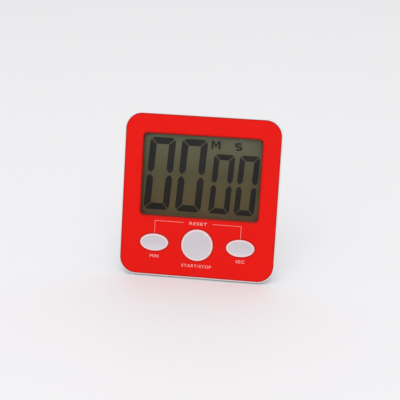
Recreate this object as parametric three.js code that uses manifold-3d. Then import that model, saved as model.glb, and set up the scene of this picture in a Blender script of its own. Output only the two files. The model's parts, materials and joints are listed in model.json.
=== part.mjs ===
// Digital kitchen timer with a large display, three push buttons, a battery bay and a rear stand.
//
// Units are millimetres. The pieces are laid out in the body's own frame: x to the right, y from the
// face plate's front surface into the body, z up, with the origin in the middle of the face plate.
// The finished body then leans back on its slanted base and its opened stand, on the plane z = 0.

import * as THREE from 'three';
import { mergeVertices } from 'three/addons/utils/BufferGeometryUtils.js';
import Module from 'manifold-3d';

const wasm = await Module();
wasm.setup();

// ---------------------------------------------------------------- driving dimensions

// Attitude on the table.
const lean = THREE.MathUtils.degToRad(15);
const legSplay = THREE.MathUtils.degToRad(9); // stand leg behind the vertical
const baseSetback = 3.7; // straight part of the bottom rim ahead of the slanted base

// Clearances.
const seatGap = 0.25; // between two pieces that rest on each other
const slideGap = 0.25; // round a piece that moves in its hole
const screwGap = 0.15; // round a screw's shank
const stopGap = 0.3; // left at the end of a travel

// How far a shape runs into the one it joins, and a cutter past the face it opens.
const bite = 0.5;
const overcut = 1;

// Facets round a circle.
const fineSides = 32;
const midSides = 20;
const plainSides = 16;
const holeSides = 12;

// Face layout.
const windowWidth = 61;
const windowHeight = 42.2;
const windowRadius = 2;
const sideMargin = 9.5; // plate beside the window
const topMargin = 10.1; // plate above the window
const panelHeight = 31.1; // plate below the window, with the buttons
const plateRadius = 8.3;
const plateThickness = 1;
const lipWidth = 0.4; // housing rim that shows round the plate
const lipChamfer = 0.2;

// Shells.
const frontWall = 1.8;
const sideWall = 1.9;
const backWall = 1.5;
const rimOverlap = 1.5; // housing rim behind the display
const draftInset = 2.4; // back cover's sides, from the seam to the back
const backEdgeRadius = 1.6;
const tongueThickness = 0.9;
const tongueReach = 1;
const tongueRoot = 1.2;

// Display.
const ledgeInset = 1.2; // housing's opening beyond the plate's window
const lensFlange = 1.3;
const lensThickness = 0.8;
const glassThickness = 1;
const glassMargin = 2.2; // glass beyond the window
const contactLedge = 2.4; // front glass below the rear glass
const ribThickness = 0.8;
const backingThickness = 0.5;
const stripThickness = 1.6; // rubber connector strip
const stripInset = 4; // strip ends inside the glass ends
const stripSleeve = 0.8;

// Buttons and their switches.
const buttonDrop = 14.3; // from the window's lower edge to the buttons' middle
const roundRadius = 8.2;
const ovalHalfWidth = 7.35;
const ovalHalfHeight = 4.45;
const ovalOffset = 22.5;
const buttonProud = 0.8;
const buttonEdge = 0.5;
const buttonTravel = 0.5;
const buttonGap = 0.15; // between a cap and its hole
const flangeWidth = 0.9;
const flangeThickness = 1;
const stemRadius = 2.2;
const stemLength = 0.6;
const plungerRadius = 1.7;
const plungerHead = 0.9; // plunger standing out of its switch
const plungerTail = 1.2;
const switchSize = 6;
const switchHeight = 2.5;

// Circuit board and what is soldered to it.
const boardThickness = 1;
const boardHalfWidth = 33.5;
const boardTop = 1.2; // board above the contact ledge
const boardShoulder = 28.5; // depth of the wide part below the face's middle
const boardTongueHalfWidth = 27.5;
const boardTongueEnd = 34.5;
const boardScrewRoom = 1; // between a board boss and the round button
const chipRadius = 5;
const chipHeight = 1.4;
const crystalRadius = 1;
const crystalLength = 6;
const coilRadius = 2.6;
const coilHeight = 3.4;
const capacitorRadius = 2;
const capacitorHeight = 4.2;
const transistorSize = [3, 1.2, 2.4];
const resistorSize = [2.4, 0.8, 1.3];

// Places [x, z] of the parts soldered to the back of the board.
const chipPlace = [-2, -24.5];
const crystalPlace = [-20, -31.5];
const coilPlace = [7, -30];
const capacitorPlace = [-19, -23];
const transistorPlace = [18.5, -31.5];
const biasResistorPlace = [-24.5, -18];
const sounderResistorPlace = [7, -17.5];

// Screws.
const caseScrewRadius = 1;
const caseScrewLength = 10;
const caseHeadRadius = 1.75;
const caseHeadHeight = 1.4;
const caseHeadDepth = 5; // head seat below the back face
const boardScrewRadius = 0.8;
const boardScrewLength = 4.5;
const boardHeadRadius = 1.6;
const boardHeadHeight = 1.1;
const bossWall = 1.05;
const bossReach = 2.6; // front bosses beyond the seam
const screwTipRoom = 0.5;
const upperScrewX = 27.5;
const lowerScrewRise = 0.9; // lower case screws above the corner radius's middle
const headFlank = 0.7; // straight part of a head's height
const headTop = 0.75; // a head's flat top over its radius
const crossLength = 0.6; // over the head's radius
const crossWidth = 0.13;
const crossFloor = 0.5; // over the head's height

// Battery bay, for one AAA cell.
const cellDiameter = 10.5;
const cellLength = 44.5;
const cellEdge = 0.4;
const nubRadius = 1.9;
const nubLength = 0.8;
const cellDrop = 18.7; // from the plate's top edge to the cell's axis
const bayWall = 2.6;
const bayFloor = 1.1;
const bayPlay = 0.4; // beside the cell
const springLength = 4.2;
const springRadius = 3.4;
const springWire = 0.35;
const springTurns = 3;
const contactThickness = 0.4;
const contactHeight = 9;
const tabWidth = 3;
const tabReach = 1.2; // solder tab beyond the bay wall
const doorOverlap = 1.35; // door's long edges over the bay walls
const hookOffset = 20;
const hookWidth = 5;
const hookReach = 1.6;
const hookThickness = 1;
const latchWidth = 8;
const latchDepth = 2;
const latchThickness = 0.8;
const scoopRadius = 7;
const scoopDepth = 0.8;

// Stand.
const legWidth = 26;
const legThickness = 2.4;
const legRadius = 4;
const heelLength = 3;
const hingeDrop = 13; // from the cell's axis to the stand's hinge
const pinRadius = 0.95;
const pinLength = 1.1;
const pinHoleDepth = 1.4;
const recessWall = 1.3;

// Magnets and sounder.
const magnetRadius = 6.5;
const magnetThickness = 2.4;
const magnetLevel = 3;
const magnetWall = 1.1;
const sounderRoom = 1.5; // between the disc and the walls beside it
const sounderThickness = 0.4;
const ceramicShare = 0.68; // of the disc's radius
const ceramicThickness = 0.3;
const sounderLevel = -18.5;
const sounderRing = 1;
const sounderSeat = 0.9; // ring's height from the back wall
const soundHoleRadius = 0.8;
const soundHoleCircle = 3.4;
const soundHoleCount = 6;
const signalPoint = [-2, 1]; // on the disc, from its middle
const returnPoint = [-8, -1];
const signalPad = [-4.6, 1]; // on the board, from the disc's middle
const returnPad = [-9.1, -3.5];
const wireRadius = 0.45;
const leadBow = 3; // battery leads out from their tabs
const leadRise = 2.5; // a lead's straight end before it bends away
const padInset = 1; // battery leads' pads below the rear glass

// ---------------------------------------------------------------- derived sizes

const plateWidth = windowWidth + 2 * sideMargin;
const plateHeight = windowHeight + topMargin + panelHeight;
const windowLevel = plateHeight / 2 - topMargin - windowHeight / 2;
const windowBottom = windowLevel - windowHeight / 2;
const buttonLevel = windowBottom - buttonDrop;

const rimWidth = lipWidth + seatGap;
const bodyWidth = plateWidth + 2 * rimWidth;
const bodyHeight = plateHeight + 2 * rimWidth;
const bodyRadius = plateRadius + rimWidth;
const cornerX = bodyWidth / 2 - bodyRadius;

// Depths of the layers behind the face, front to back.
const wallFront = plateThickness + seatGap;
const wallBack = wallFront + frontWall;
const glassFront = wallBack + seatGap;
const glassMiddle = glassFront + glassThickness;
const glassBack = glassMiddle + glassThickness;
const seamDepth = glassBack + rimOverlap;
const bayFront = glassBack + 2 * seatGap + backingThickness;
const cellDepth = bayFront + bayFloor + stopGap + cellDiameter / 2;
const doorFront = cellDepth + cellDiameter / 2 + stopGap;
const bodyDepth = doorFront + backWall;

const flangeBack = glassFront + flangeThickness;
const plungerFront = flangeBack + stemLength + seatGap;
const switchFront = plungerFront + plungerHead;
const boardFront = switchFront + switchHeight + seatGap;
const boardBack = boardFront + boardThickness;

const glassWidth = windowWidth + 2 * glassMargin;
const glassTop = windowLevel + windowHeight / 2 + glassMargin;
const rearGlassBottom = windowBottom - glassMargin;
const frontGlassBottom = rearGlassBottom - contactLedge;
const stripMiddle = (frontGlassBottom + rearGlassBottom) / 2;
const holderHalfHeight = stripThickness / 2 + seatGap + stripSleeve;

const caseBossRadius = caseScrewRadius + screwGap + bossWall;
const boardBossRadius = boardScrewRadius + screwGap + bossWall;
const upperScrewLevel = glassTop + seatGap + caseBossRadius;
const lowerScrewLevel = -plateHeight / 2 + plateRadius + lowerScrewRise;
const caseBossEnd = seamDepth + bossReach;
const caseScrewSeat = bodyDepth - caseHeadDepth;

const cellLevel = plateHeight / 2 - cellDrop;
const bayHalfHeight = cellDiameter / 2 + bayPlay;
const contactRoom = contactThickness + seatGap;
const bayHalfLength = (cellLength + springLength + seatGap + 2 * contactRoom) / 2;
const tabDepth = bayFront + bayFloor + stopGap + 1;
const tabEnd = bayHalfLength + bayWall + tabReach;
const doorHalfHeight = bayHalfHeight + doorOverlap;
const doorHalfWidth = bayHalfLength + doorOverlap;

const legDepth = bodyDepth - slideGap - legThickness / 2;
const hingeLevel = cellLevel - hingeDrop;
const legAngle = lean + legSplay;
const hingeRise = hingeLevel + bodyHeight / 2;
const hingeHeight = hingeRise * Math.cos(lean) - (legDepth - baseSetback) * Math.sin(lean);
const legLength = hingeHeight / Math.cos(legSplay);
const recessDepth = legDepth - legThickness / 2 - slideGap;
const recessTop = hingeLevel + Math.hypot(heelLength, legThickness / 2) + slideGap;
const heelSwing = (legThickness / 2) * Math.cos(legAngle) + heelLength * Math.sin(legAngle);
const wellDepth = legDepth - heelSwing - stopGap;

// The room on each side of the stand's recess, for a magnet and the sounder.
const recessWidth = legWidth + 2 * slideGap;
const wingInner = recessWidth / 2 + recessWall;
const wingOuter = bodyWidth / 2 - draftInset - backWall;
const wingMiddle = (wingInner + wingOuter) / 2;
const sounderRadius = (wingOuter - wingInner) / 2 - sounderRoom;
const ceramicRadius = ceramicShare * sounderRadius;

// ---------------------------------------------------------------- solids

function solid(geometry) {
  const bare = geometry.clone();
  bare.deleteAttribute('normal');
  bare.deleteAttribute('uv');
  const merged = mergeVertices(bare, 1e-4);
  return new wasm.Manifold(new wasm.Mesh({
    numProp: 3,
    vertProperties: new Float32Array(merged.attributes.position.array),
    triVerts: new Uint32Array(merged.index.array),
  }));
}

function meshGeometry(shape) {
  const { vertProperties, triVerts } = shape.getMesh();
  const geometry = new THREE.BufferGeometry();
  geometry.setAttribute('position', new THREE.BufferAttribute(new Float32Array(vertProperties), 3));
  geometry.setIndex(new THREE.BufferAttribute(new Uint32Array(triVerts), 1));
  geometry.computeVertexNormals();
  return geometry;
}

function joined(first, ...others) {
  return others.reduce((sum, other) => sum.add(other), first);
}

function cut(first, ...others) {
  return others.reduce((rest, other) => rest.subtract(other), first);
}

// A rectangle with round corners about the origin of its plane.
function roundedRect(width, height, radius) {
  const x = width / 2 - radius;
  const z = height / 2 - radius;
  const shape = new THREE.Shape();
  shape.absarc(x, z, radius, 0, Math.PI / 2);
  shape.absarc(-x, z, radius, Math.PI / 2, Math.PI);
  shape.absarc(-x, -z, radius, Math.PI, 1.5 * Math.PI);
  shape.absarc(x, -z, radius, 1.5 * Math.PI, 2 * Math.PI);
  return shape;
}

function ellipse(halfWidth, halfHeight) {
  const shape = new THREE.Shape();
  shape.absellipse(0, 0, halfWidth, halfHeight, 0, 2 * Math.PI);
  return shape;
}

// A prism from front to back through [depth, inset] rings; each ring draws the outline in by its inset.
function ringed(shape, halfWidth, halfHeight, rings, curveSegments = 4) {
  const steps = rings.length - 1;
  const options = { depth: steps, steps, bevelEnabled: false, curveSegments };
  const geometry = new THREE.ExtrudeGeometry(shape, options);
  const position = geometry.attributes.position;
  for (let i = 0; i < position.count; i += 1) {
    const [depth, inset] = rings[steps - Math.round(position.getZ(i))];
    const x = position.getX(i) * (1 - inset / halfWidth);
    const z = position.getY(i) * (1 - inset / halfHeight);
    position.setXYZ(i, x, depth, z);
  }
  return geometry;
}

function slab(width, height, radius, front, back, level = 0) {
  const shape = roundedRect(width, height, radius);
  return ringed(shape, width / 2, height / 2, [[front, 0], [back, 0]]).translate(0, 0, level);
}

function block(left, right, front, back, bottom, top) {
  const geometry = new THREE.BoxGeometry(right - left, back - front, top - bottom);
  return geometry.translate((left + right) / 2, (front + back) / 2, (bottom + top) / 2);
}

// A cylinder along the body's depth.
function rod(radius, front, back, x = 0, z = 0, sides = plainSides) {
  const geometry = new THREE.CylinderGeometry(radius, radius, back - front, sides);
  return geometry.translate(x, (front + back) / 2, z);
}

// Everything below the slanted base, raised by a wall's thickness where it cuts a cavity.
function belowBase(raise = 0) {
  const size = 4 * bodyWidth;
  const geometry = new THREE.BoxGeometry(size, size, size).translate(0, 0, raise - size / 2);
  geometry.rotateX(lean);
  return solid(geometry.translate(0, baseSetback, -bodyHeight / 2));
}

const caseScrewPlaces = [
  [-upperScrewX, upperScrewLevel],
  [upperScrewX, upperScrewLevel],
  [-cornerX, lowerScrewLevel],
  [cornerX, lowerScrewLevel],
];
const boardScrewX = roundRadius + flangeWidth + seatGap + boardBossRadius + boardScrewRoom;
const boardScrewTop = stripMiddle - holderHalfHeight - seatGap - boardBossRadius;
const boardScrewPlaces = [
  [-boardScrewX, boardScrewTop],
  [boardScrewX, boardScrewTop],
  [-boardScrewX, boardBossRadius - boardTongueEnd],
  [boardScrewX, boardBossRadius - boardTongueEnd],
];

const buttons = [
  { name: 'start_stop', x: 0, halfWidth: roundRadius, halfHeight: roundRadius },
  { name: 'minute', x: -ovalOffset, halfWidth: ovalHalfWidth, halfHeight: ovalHalfHeight },
  { name: 'second', x: ovalOffset, halfWidth: ovalHalfWidth, halfHeight: ovalHalfHeight },
];

// An elliptical prism at a button's place, wider than its cap by a margin.
function buttonPrism(button, margin, rings) {
  const halfWidth = button.halfWidth + margin;
  const halfHeight = button.halfHeight + margin;
  return ringed(ellipse(halfWidth, halfHeight), halfWidth, halfHeight, rings, plainSides)
    .translate(button.x, 0, buttonLevel);
}

function buttonHoles(front, back) {
  return buttons.map((button) => solid(buttonPrism(button, buttonGap, [[front, 0], [back, 0]])));
}

// ---------------------------------------------------------------- front of the case

function frontHousing() {
  const outline = roundedRect(bodyWidth, bodyHeight, bodyRadius);
  const outer = ringed(outline, bodyWidth / 2, bodyHeight / 2,
    [[0, lipChamfer], [lipChamfer, 0], [seamDepth, 0]]);
  const pocket = slab(plateWidth + 2 * seatGap, plateHeight + 2 * seatGap, plateRadius + seatGap, -overcut,
    wallFront);
  const cavityWidth = bodyWidth - 2 * sideWall;
  const cavityHeight = bodyHeight - 2 * sideWall;
  const cavity = slab(cavityWidth, cavityHeight, bodyRadius - sideWall, wallBack, seamDepth + overcut);
  const openingWidth = windowWidth + 2 * ledgeInset;
  const openingHeight = windowHeight + 2 * ledgeInset;
  const opening = slab(openingWidth, openingHeight, windowRadius, 0, wallBack + overcut, windowLevel);
  const rebateWidth = openingWidth + 2 * (lensFlange + seatGap);
  const rebateHeight = openingHeight + 2 * (lensFlange + seatGap);
  const rebateBack = wallFront + lensThickness + seatGap;
  const rebate = slab(rebateWidth, rebateHeight, windowRadius, 0, rebateBack, windowLevel);
  const shell = cut(solid(outer), solid(pocket), solid(cavity), solid(opening), solid(rebate),
    ...buttonHoles(0, wallBack + overcut));

  const postFront = wallBack - bite;
  const ribInner = glassWidth / 2 + seatGap;
  const ribOuter = ribInner + ribThickness;
  const ribTop = glassTop + seatGap + ribThickness;
  const ribs = [
    block(-ribOuter, -ribInner, postFront, glassBack, rearGlassBottom, ribTop),
    block(ribInner, ribOuter, postFront, glassBack, rearGlassBottom, ribTop),
    block(-ribOuter, ribOuter, postFront, glassBack, glassTop + seatGap, ribTop),
  ];
  const caseBosses = caseScrewPlaces.map(([x, z]) => rod(caseBossRadius, postFront, caseBossEnd, x, z));
  const boardBossEnd = boardFront - seatGap;
  const boardBosses = boardScrewPlaces.map(([x, z]) => rod(boardBossRadius, postFront, boardBossEnd, x, z));
  const caseTip = caseScrewSeat - caseScrewLength - screwTipRoom;
  const casePilots = caseScrewPlaces.map(([x, z]) => (
    rod(caseScrewRadius + screwGap, caseTip, caseBossEnd + overcut, x, z)));
  const boardTip = boardBack + seatGap - boardScrewLength - screwTipRoom;
  const boardPilots = boardScrewPlaces.map(([x, z]) => (
    rod(boardScrewRadius + screwGap, boardTip, boardBossEnd + overcut, x, z)));
  const posts = [...ribs, ...caseBosses, ...boardBosses].map(solid);
  const pilots = [...casePilots, ...boardPilots].map(solid);
  return cut(joined(shell, ...posts), ...pilots, belowBase());
}

function facePlate() {
  const plate = slab(plateWidth, plateHeight, plateRadius, 0, plateThickness);
  const back = plateThickness + overcut;
  const window = slab(windowWidth, windowHeight, windowRadius, -overcut, back, windowLevel);
  return cut(solid(plate), solid(window), ...buttonHoles(-overcut, back));
}

function displayWindow() {
  const width = windowWidth + 2 * (ledgeInset + lensFlange);
  const height = windowHeight + 2 * (ledgeInset + lensFlange);
  return slab(width, height, windowRadius, wallFront, wallFront + lensThickness, windowLevel);
}

// Two bonded glasses; the front one reaches lower and carries the contacts on its rear face.
function displayPanel() {
  const halfWidth = glassWidth / 2;
  const frontGlass = block(-halfWidth, halfWidth, glassFront, glassMiddle, frontGlassBottom, glassTop);
  const rearGlass = block(-halfWidth, halfWidth, glassMiddle - bite, glassBack, rearGlassBottom, glassTop);
  return joined(solid(frontGlass), solid(rearGlass));
}

function displayBacking() {
  const front = glassBack + seatGap;
  return block(-windowWidth / 2, windowWidth / 2, front, front + backingThickness, windowBottom, glassTop);
}

const stripHalfWidth = glassWidth / 2 - stripInset;
const stripFront = glassMiddle + seatGap;
const stripBack = boardFront - seatGap;

function connectorStrip() {
  const half = stripThickness / 2;
  return block(-stripHalfWidth, stripHalfWidth, stripFront, stripBack,
    stripMiddle - half, stripMiddle + half);
}

// The sleeve that keeps the rubber strip upright between the board and the glass.
function connectorHolder() {
  const half = holderHalfHeight - stripSleeve;
  const front = glassBack + seatGap;
  const slotHalfWidth = stripHalfWidth + seatGap;
  const outerHalfWidth = slotHalfWidth + stripSleeve;
  const outer = block(-outerHalfWidth, outerHalfWidth, front, stripBack,
    stripMiddle - holderHalfHeight, stripMiddle + holderHalfHeight);
  const slot = block(-slotHalfWidth, slotHalfWidth, front - overcut, stripBack + overcut,
    stripMiddle - half, stripMiddle + half);
  return cut(solid(outer), solid(slot));
}

// ---------------------------------------------------------------- buttons and board

function buttonCap(button) {
  const edge = buttonEdge * (1 - Math.SQRT1_2);
  const cap = buttonPrism(button, 0, [
    [-buttonProud, buttonEdge],
    [edge - buttonProud, edge],
    [buttonEdge - buttonProud, 0],
    [glassFront + flangeThickness / 2, 0],
  ]);
  const flange = buttonPrism(button, flangeWidth, [[glassFront, 0], [flangeBack, 0]]);
  const stemFront = flangeBack - flangeThickness / 2;
  const stem = rod(stemRadius, stemFront, flangeBack + stemLength, button.x, buttonLevel);
  return joined(solid(cap), solid(flange), solid(stem));
}

function switchPlunger() {
  return rod(plungerRadius, plungerFront, switchFront + plungerTail);
}

function switchBody() {
  const half = switchSize / 2;
  const body = block(-half, half, switchFront, switchFront + switchHeight, -half, half);
  const boreEnd = switchFront + plungerTail + buttonTravel + stopGap;
  return cut(solid(body), solid(rod(plungerRadius + slideGap, switchFront - overcut, boreEnd)));
}

function circuitBoard() {
  const top = rearGlassBottom + boardTop;
  const shape = new THREE.Shape();
  shape.moveTo(-boardHalfWidth, top);
  shape.lineTo(-boardHalfWidth, -boardShoulder);
  shape.lineTo(-boardTongueHalfWidth, -boardShoulder);
  shape.lineTo(-boardTongueHalfWidth, -boardTongueEnd);
  shape.lineTo(boardTongueHalfWidth, -boardTongueEnd);
  shape.lineTo(boardTongueHalfWidth, -boardShoulder);
  shape.lineTo(boardHalfWidth, -boardShoulder);
  shape.lineTo(boardHalfWidth, top);
  const board = ringed(shape, 1, 1, [[boardFront, 0], [boardBack, 0]]);
  const holes = boardScrewPlaces.map(([x, z]) => (
    solid(rod(boardScrewRadius + screwGap, boardFront - overcut, boardBack + overcut, x, z))));
  return cut(solid(board), ...holes);
}

// A round head with a cross slot and a plain shank. The head's seat is at y = 0 and the tip ahead of it.
function screw(shankRadius, length, headRadius, headHeight) {
  const profile = [
    [0, -length], [shankRadius, -length], [shankRadius, 0], [headRadius, 0],
    [headRadius, headHeight * headFlank], [headRadius * headTop, headHeight], [0, headHeight],
  ].map(([radius, depth]) => new THREE.Vector2(radius, depth));
  const body = new THREE.LatheGeometry(profile, plainSides);
  const slotLength = headRadius * crossLength;
  const slotWidth = headRadius * crossWidth;
  const slotFloor = headHeight * crossFloor;
  const slotTop = headHeight + overcut;
  const across = block(-slotLength, slotLength, slotFloor, slotTop, -slotWidth, slotWidth);
  const upright = block(-slotWidth, slotWidth, slotFloor, slotTop, -slotLength, slotLength);
  return cut(solid(body), solid(across), solid(upright));
}

// ---------------------------------------------------------------- back of the case

// The rounding from the drafted side to the flat back face, as [depth, inset] rings.
function backRings(front, back, wall, steps = 4) {
  const rings = [[front, wall]];
  for (let i = 0; i <= steps; i += 1) {
    const angle = (i / steps) * (Math.PI / 2);
    const depth = back - backEdgeRadius * (1 - Math.sin(angle));
    const inset = wall + draftInset + backEdgeRadius * (1 - Math.cos(angle));
    rings.push([depth, inset]);
  }
  return rings;
}

function recessBlock(width, front, top) {
  return solid(block(-width / 2, width / 2, front, bodyDepth + overcut, -bodyHeight, top));
}

function batteryBay() {
  const length = bayHalfLength + bayWall;
  const height = bayHalfHeight + bayWall;
  const outer = block(-length, length, bayFront, bodyDepth - backWall / 2,
    cellLevel - height, cellLevel + height);
  const inner = block(-bayHalfLength, bayHalfLength, bayFront + bayFloor, bodyDepth + overcut,
    cellLevel - bayHalfHeight, cellLevel + bayHalfHeight);
  return { outer: solid(outer), inner: solid(inner) };
}

// Notches in the bay's long walls for the door's hooks and latch.
function doorNotches() {
  const hookRoom = hookWidth / 2 + slideGap;
  const swing = Math.hypot(backWall + stopGap + hookThickness, hookReach) + slideGap;
  const low = cellLevel - bayHalfHeight;
  const hooks = [-hookOffset, hookOffset].map((x) => (
    block(x - hookRoom, x + hookRoom, bodyDepth - swing, doorFront, low - bayWall - overcut, low + bite)));
  const latchRoom = latchWidth / 2 + slideGap;
  const high = cellLevel + bayHalfHeight;
  const latch = block(-latchRoom, latchRoom, doorFront - latchDepth - stopGap, doorFront,
    high - bite, high + doorOverlap + slideGap);
  return [...hooks, latch].map(solid);
}

function contactSlots() {
  const half = tabWidth / 2 + slideGap;
  return [-1, 1].map((side) => {
    const slot = new THREE.BoxGeometry(bayWall + 2 * overcut, contactThickness + 2 * slideGap, 2 * half);
    slot.translate(side * (bayHalfLength + bayWall / 2), tabDepth, cellLevel);
    return solid(slot);
  });
}

function backCover() {
  const outline = roundedRect(bodyWidth, bodyHeight, bodyRadius);
  const halfWidth = bodyWidth / 2;
  const halfHeight = bodyHeight / 2;
  const seam = seamDepth + seatGap;
  const outer = cut(
    solid(ringed(outline, halfWidth, halfHeight, [[seam, 0], ...backRings(seam, bodyDepth, 0).slice(1)])),
    belowBase(),
  );
  const cavity = cut(
    solid(ringed(outline, halfWidth, halfHeight, backRings(seam - overcut, bodyDepth - backWall, backWall))),
    belowBase(backWall),
  );

  const tongueInset = sideWall + slideGap;
  const tongueOuter = ringed(outline, halfWidth, halfHeight,
    [[seam - tongueReach, tongueInset], [seam + tongueRoot, tongueInset]]);
  const innerInset = tongueInset + tongueThickness;
  const tongueInner = ringed(outline, halfWidth, halfHeight,
    [[seam - tongueReach - overcut, innerInset], [seam + tongueRoot + overcut, innerInset]]);
  const bossRooms = caseScrewPlaces.map(([x, z]) => (
    solid(rod(caseBossRadius + slideGap, wallBack, caseBossEnd + seatGap, x, z))));
  const tongue = cut(solid(tongueOuter), solid(tongueInner), belowBase(), ...bossRooms);

  const bossEnd = bodyDepth - backWall / 2;
  const bay = batteryBay();
  const recess = recessBlock(recessWidth, recessDepth, recessTop);
  const well = solid(block(-recessWidth / 2, recessWidth / 2, wellDepth, bodyDepth + overcut,
    hingeLevel - legThickness, recessTop));
  const shellWidth = recessWidth + 2 * recessWall;
  const recessShell = recessBlock(shellWidth, recessDepth - recessWall, recessTop + recessWall);
  const wellShell = solid(block(-shellWidth / 2, shellWidth / 2, wellDepth - recessWall, bossEnd,
    hingeLevel - legThickness - recessWall, recessTop + recessWall));

  const bosses = caseScrewPlaces.map(([x, z]) => (
    solid(rod(caseHeadRadius + slideGap + bossWall, caseBossEnd + seatGap, bossEnd, x, z))));
  const shanks = caseScrewPlaces.map(([x, z]) => (
    solid(rod(caseScrewRadius + screwGap, seam - overcut, bodyDepth, x, z))));
  const heads = caseScrewPlaces.map(([x, z]) => (
    solid(rod(caseHeadRadius + slideGap, caseScrewSeat - seatGap, bodyDepth + overcut, x, z))));

  const magnetFloor = bodyDepth - magnetThickness - seatGap;
  const magnetPlaces = [-wingMiddle, wingMiddle];
  const pocketRadius = magnetRadius + seatGap;
  const cupFront = magnetFloor - magnetWall;
  const magnetCups = magnetPlaces.map((x) => (
    solid(rod(pocketRadius + magnetWall, cupFront, bossEnd, x, magnetLevel, fineSides))));
  const magnetPockets = magnetPlaces.map((x) => (
    solid(rod(pocketRadius, magnetFloor, bodyDepth + overcut, x, magnetLevel, fineSides))));

  const ringFront = bodyDepth - backWall - sounderSeat - sounderThickness - seatGap;
  const ringInner = sounderRadius + seatGap;
  const sounderWall = cut(
    solid(rod(ringInner + sounderRing, ringFront, bossEnd, wingMiddle, sounderLevel, fineSides)),
    solid(rod(ringInner, ringFront - overcut, bodyDepth - backWall, wingMiddle, sounderLevel, fineSides)),
  );
  const sounderLedge = cut(
    solid(rod(ringInner + sounderRing / 2, bodyDepth - backWall - sounderSeat, bossEnd,
      wingMiddle, sounderLevel, fineSides)),
    solid(rod(sounderRadius - sounderRing, ringFront - overcut, bodyDepth - backWall,
      wingMiddle, sounderLevel, fineSides)),
  );
  const soundHoles = [];
  for (let i = 0; i < soundHoleCount; i += 1) {
    const turn = (i / soundHoleCount) * 2 * Math.PI;
    const x = wingMiddle + soundHoleCircle * Math.cos(turn);
    const z = sounderLevel + soundHoleCircle * Math.sin(turn);
    const front = bodyDepth - backWall - overcut;
    soundHoles.push(solid(rod(soundHoleRadius, front, bodyDepth + overcut, x, z, holeSides)));
  }

  const doorOpening = solid(block(-doorHalfWidth - slideGap, doorHalfWidth + slideGap,
    doorFront - stopGap, bodyDepth + overcut,
    cellLevel - doorHalfHeight - slideGap, cellLevel + doorHalfHeight + slideGap));
  const scoop = new THREE.SphereGeometry(scoopRadius, 2 * holeSides, holeSides);
  scoop.translate(0, bodyDepth + scoopRadius - scoopDepth, cellLevel + doorHalfHeight);
  const pinHoleRadius = pinRadius + slideGap;
  const pins = new THREE.CylinderGeometry(pinHoleRadius, pinHoleRadius, 2 * legWidth, midSides);
  pins.rotateZ(Math.PI / 2).translate(0, legDepth, hingeLevel);
  const pinReach = recessBlock(recessWidth + 2 * pinHoleDepth, recessDepth, recessTop);
  const pinHoles = solid(pins).intersect(pinReach);

  const innerRings = [[bayFront, backWall / 2], ...backRings(seam, bodyDepth, 0).slice(1)];
  const insideLimit = cut(
    solid(ringed(outline, halfWidth, halfHeight, innerRings)),
    belowBase(backWall / 2),
  );
  const fittings = joined(bay.outer, recessShell, wellShell, ...bosses, ...magnetCups,
    sounderWall, sounderLedge);
  const inside = fittings.intersect(insideLimit);
  const shell = joined(cut(outer, cavity), tongue, inside);
  return cut(shell, bay.inner, ...doorNotches(), doorOpening, ...contactSlots(), recess, well, pinHoles,
    ...shanks, ...heads, ...magnetPockets, ...soundHoles, solid(scoop));
}

function batteryDoor() {
  const plate = block(-doorHalfWidth, doorHalfWidth, doorFront, bodyDepth,
    cellLevel - doorHalfHeight, cellLevel + doorHalfHeight);
  const low = cellLevel - doorHalfHeight;
  const hookTop = doorFront - stopGap;
  const hooks = [-hookOffset, hookOffset].flatMap((x) => {
    const left = x - hookWidth / 2;
    const right = x + hookWidth / 2;
    return [
      block(left, right, hookTop - hookThickness, doorFront + bite, low, low + hookThickness),
      block(left, right, hookTop - hookThickness, hookTop, low - hookReach, low + hookThickness),
    ];
  });
  const high = cellLevel + bayHalfHeight + latchThickness;
  const latch = block(-latchWidth / 2, latchWidth / 2, doorFront - latchDepth, doorFront + bite,
    high - latchThickness, high);
  return joined(solid(plate), ...[...hooks, latch].map(solid));
}

// The cell lies along x with its nub to the right.
const cellLeft = contactRoom - bayHalfLength + springLength;

function batteryCell() {
  const radius = cellDiameter / 2;
  const shoulder = cellLength - nubLength;
  const profile = [
    [0, 0], [radius - cellEdge, 0], [radius, cellEdge], [radius, shoulder - cellEdge],
    [radius - cellEdge, shoulder],
    [nubRadius, shoulder], [nubRadius, cellLength], [0, cellLength],
  ].map(([r, along]) => new THREE.Vector2(r, along));
  const geometry = new THREE.LatheGeometry(profile, fineSides).rotateZ(-Math.PI / 2);
  return geometry.translate(cellLeft, cellDepth, cellLevel);
}

// A contact plate against one end of the bay, with its solder tab through the end wall.
function contactPlate(side) {
  const plateX = side * (bayHalfLength - seatGap - contactThickness / 2);
  const plateDepth = doorFront - stopGap - (bayFront + bayFloor + stopGap);
  const plate = new THREE.BoxGeometry(contactThickness, plateDepth, contactHeight);
  plate.translate(plateX, doorFront - stopGap - plateDepth / 2, cellLevel);
  const tabLength = seatGap + contactThickness + bayWall + tabReach;
  const tab = new THREE.BoxGeometry(tabLength, contactThickness, tabWidth);
  tab.translate(side * (tabEnd - tabLength / 2), tabDepth, cellLevel);
  return joined(solid(plate), solid(tab));
}

class Helix extends THREE.Curve {
  constructor(radius, length, turns) {
    super();
    this.radius = radius;
    this.length = length;
    this.turns = turns;
  }

  getPoint(t, target = new THREE.Vector3()) {
    const angle = 2 * Math.PI * this.turns * t;
    return target.set(this.length * t, this.radius * Math.cos(angle), this.radius * Math.sin(angle));
  }
}

// A round wire along a curve.
function wire(path, radius, steps, sides = 4) {
  const section = new THREE.Shape().absarc(0, 0, radius, 0, 2 * Math.PI);
  const options = { extrudePath: path, steps, curveSegments: sides, bevelEnabled: false };
  return new THREE.ExtrudeGeometry(section, options);
}

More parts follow.
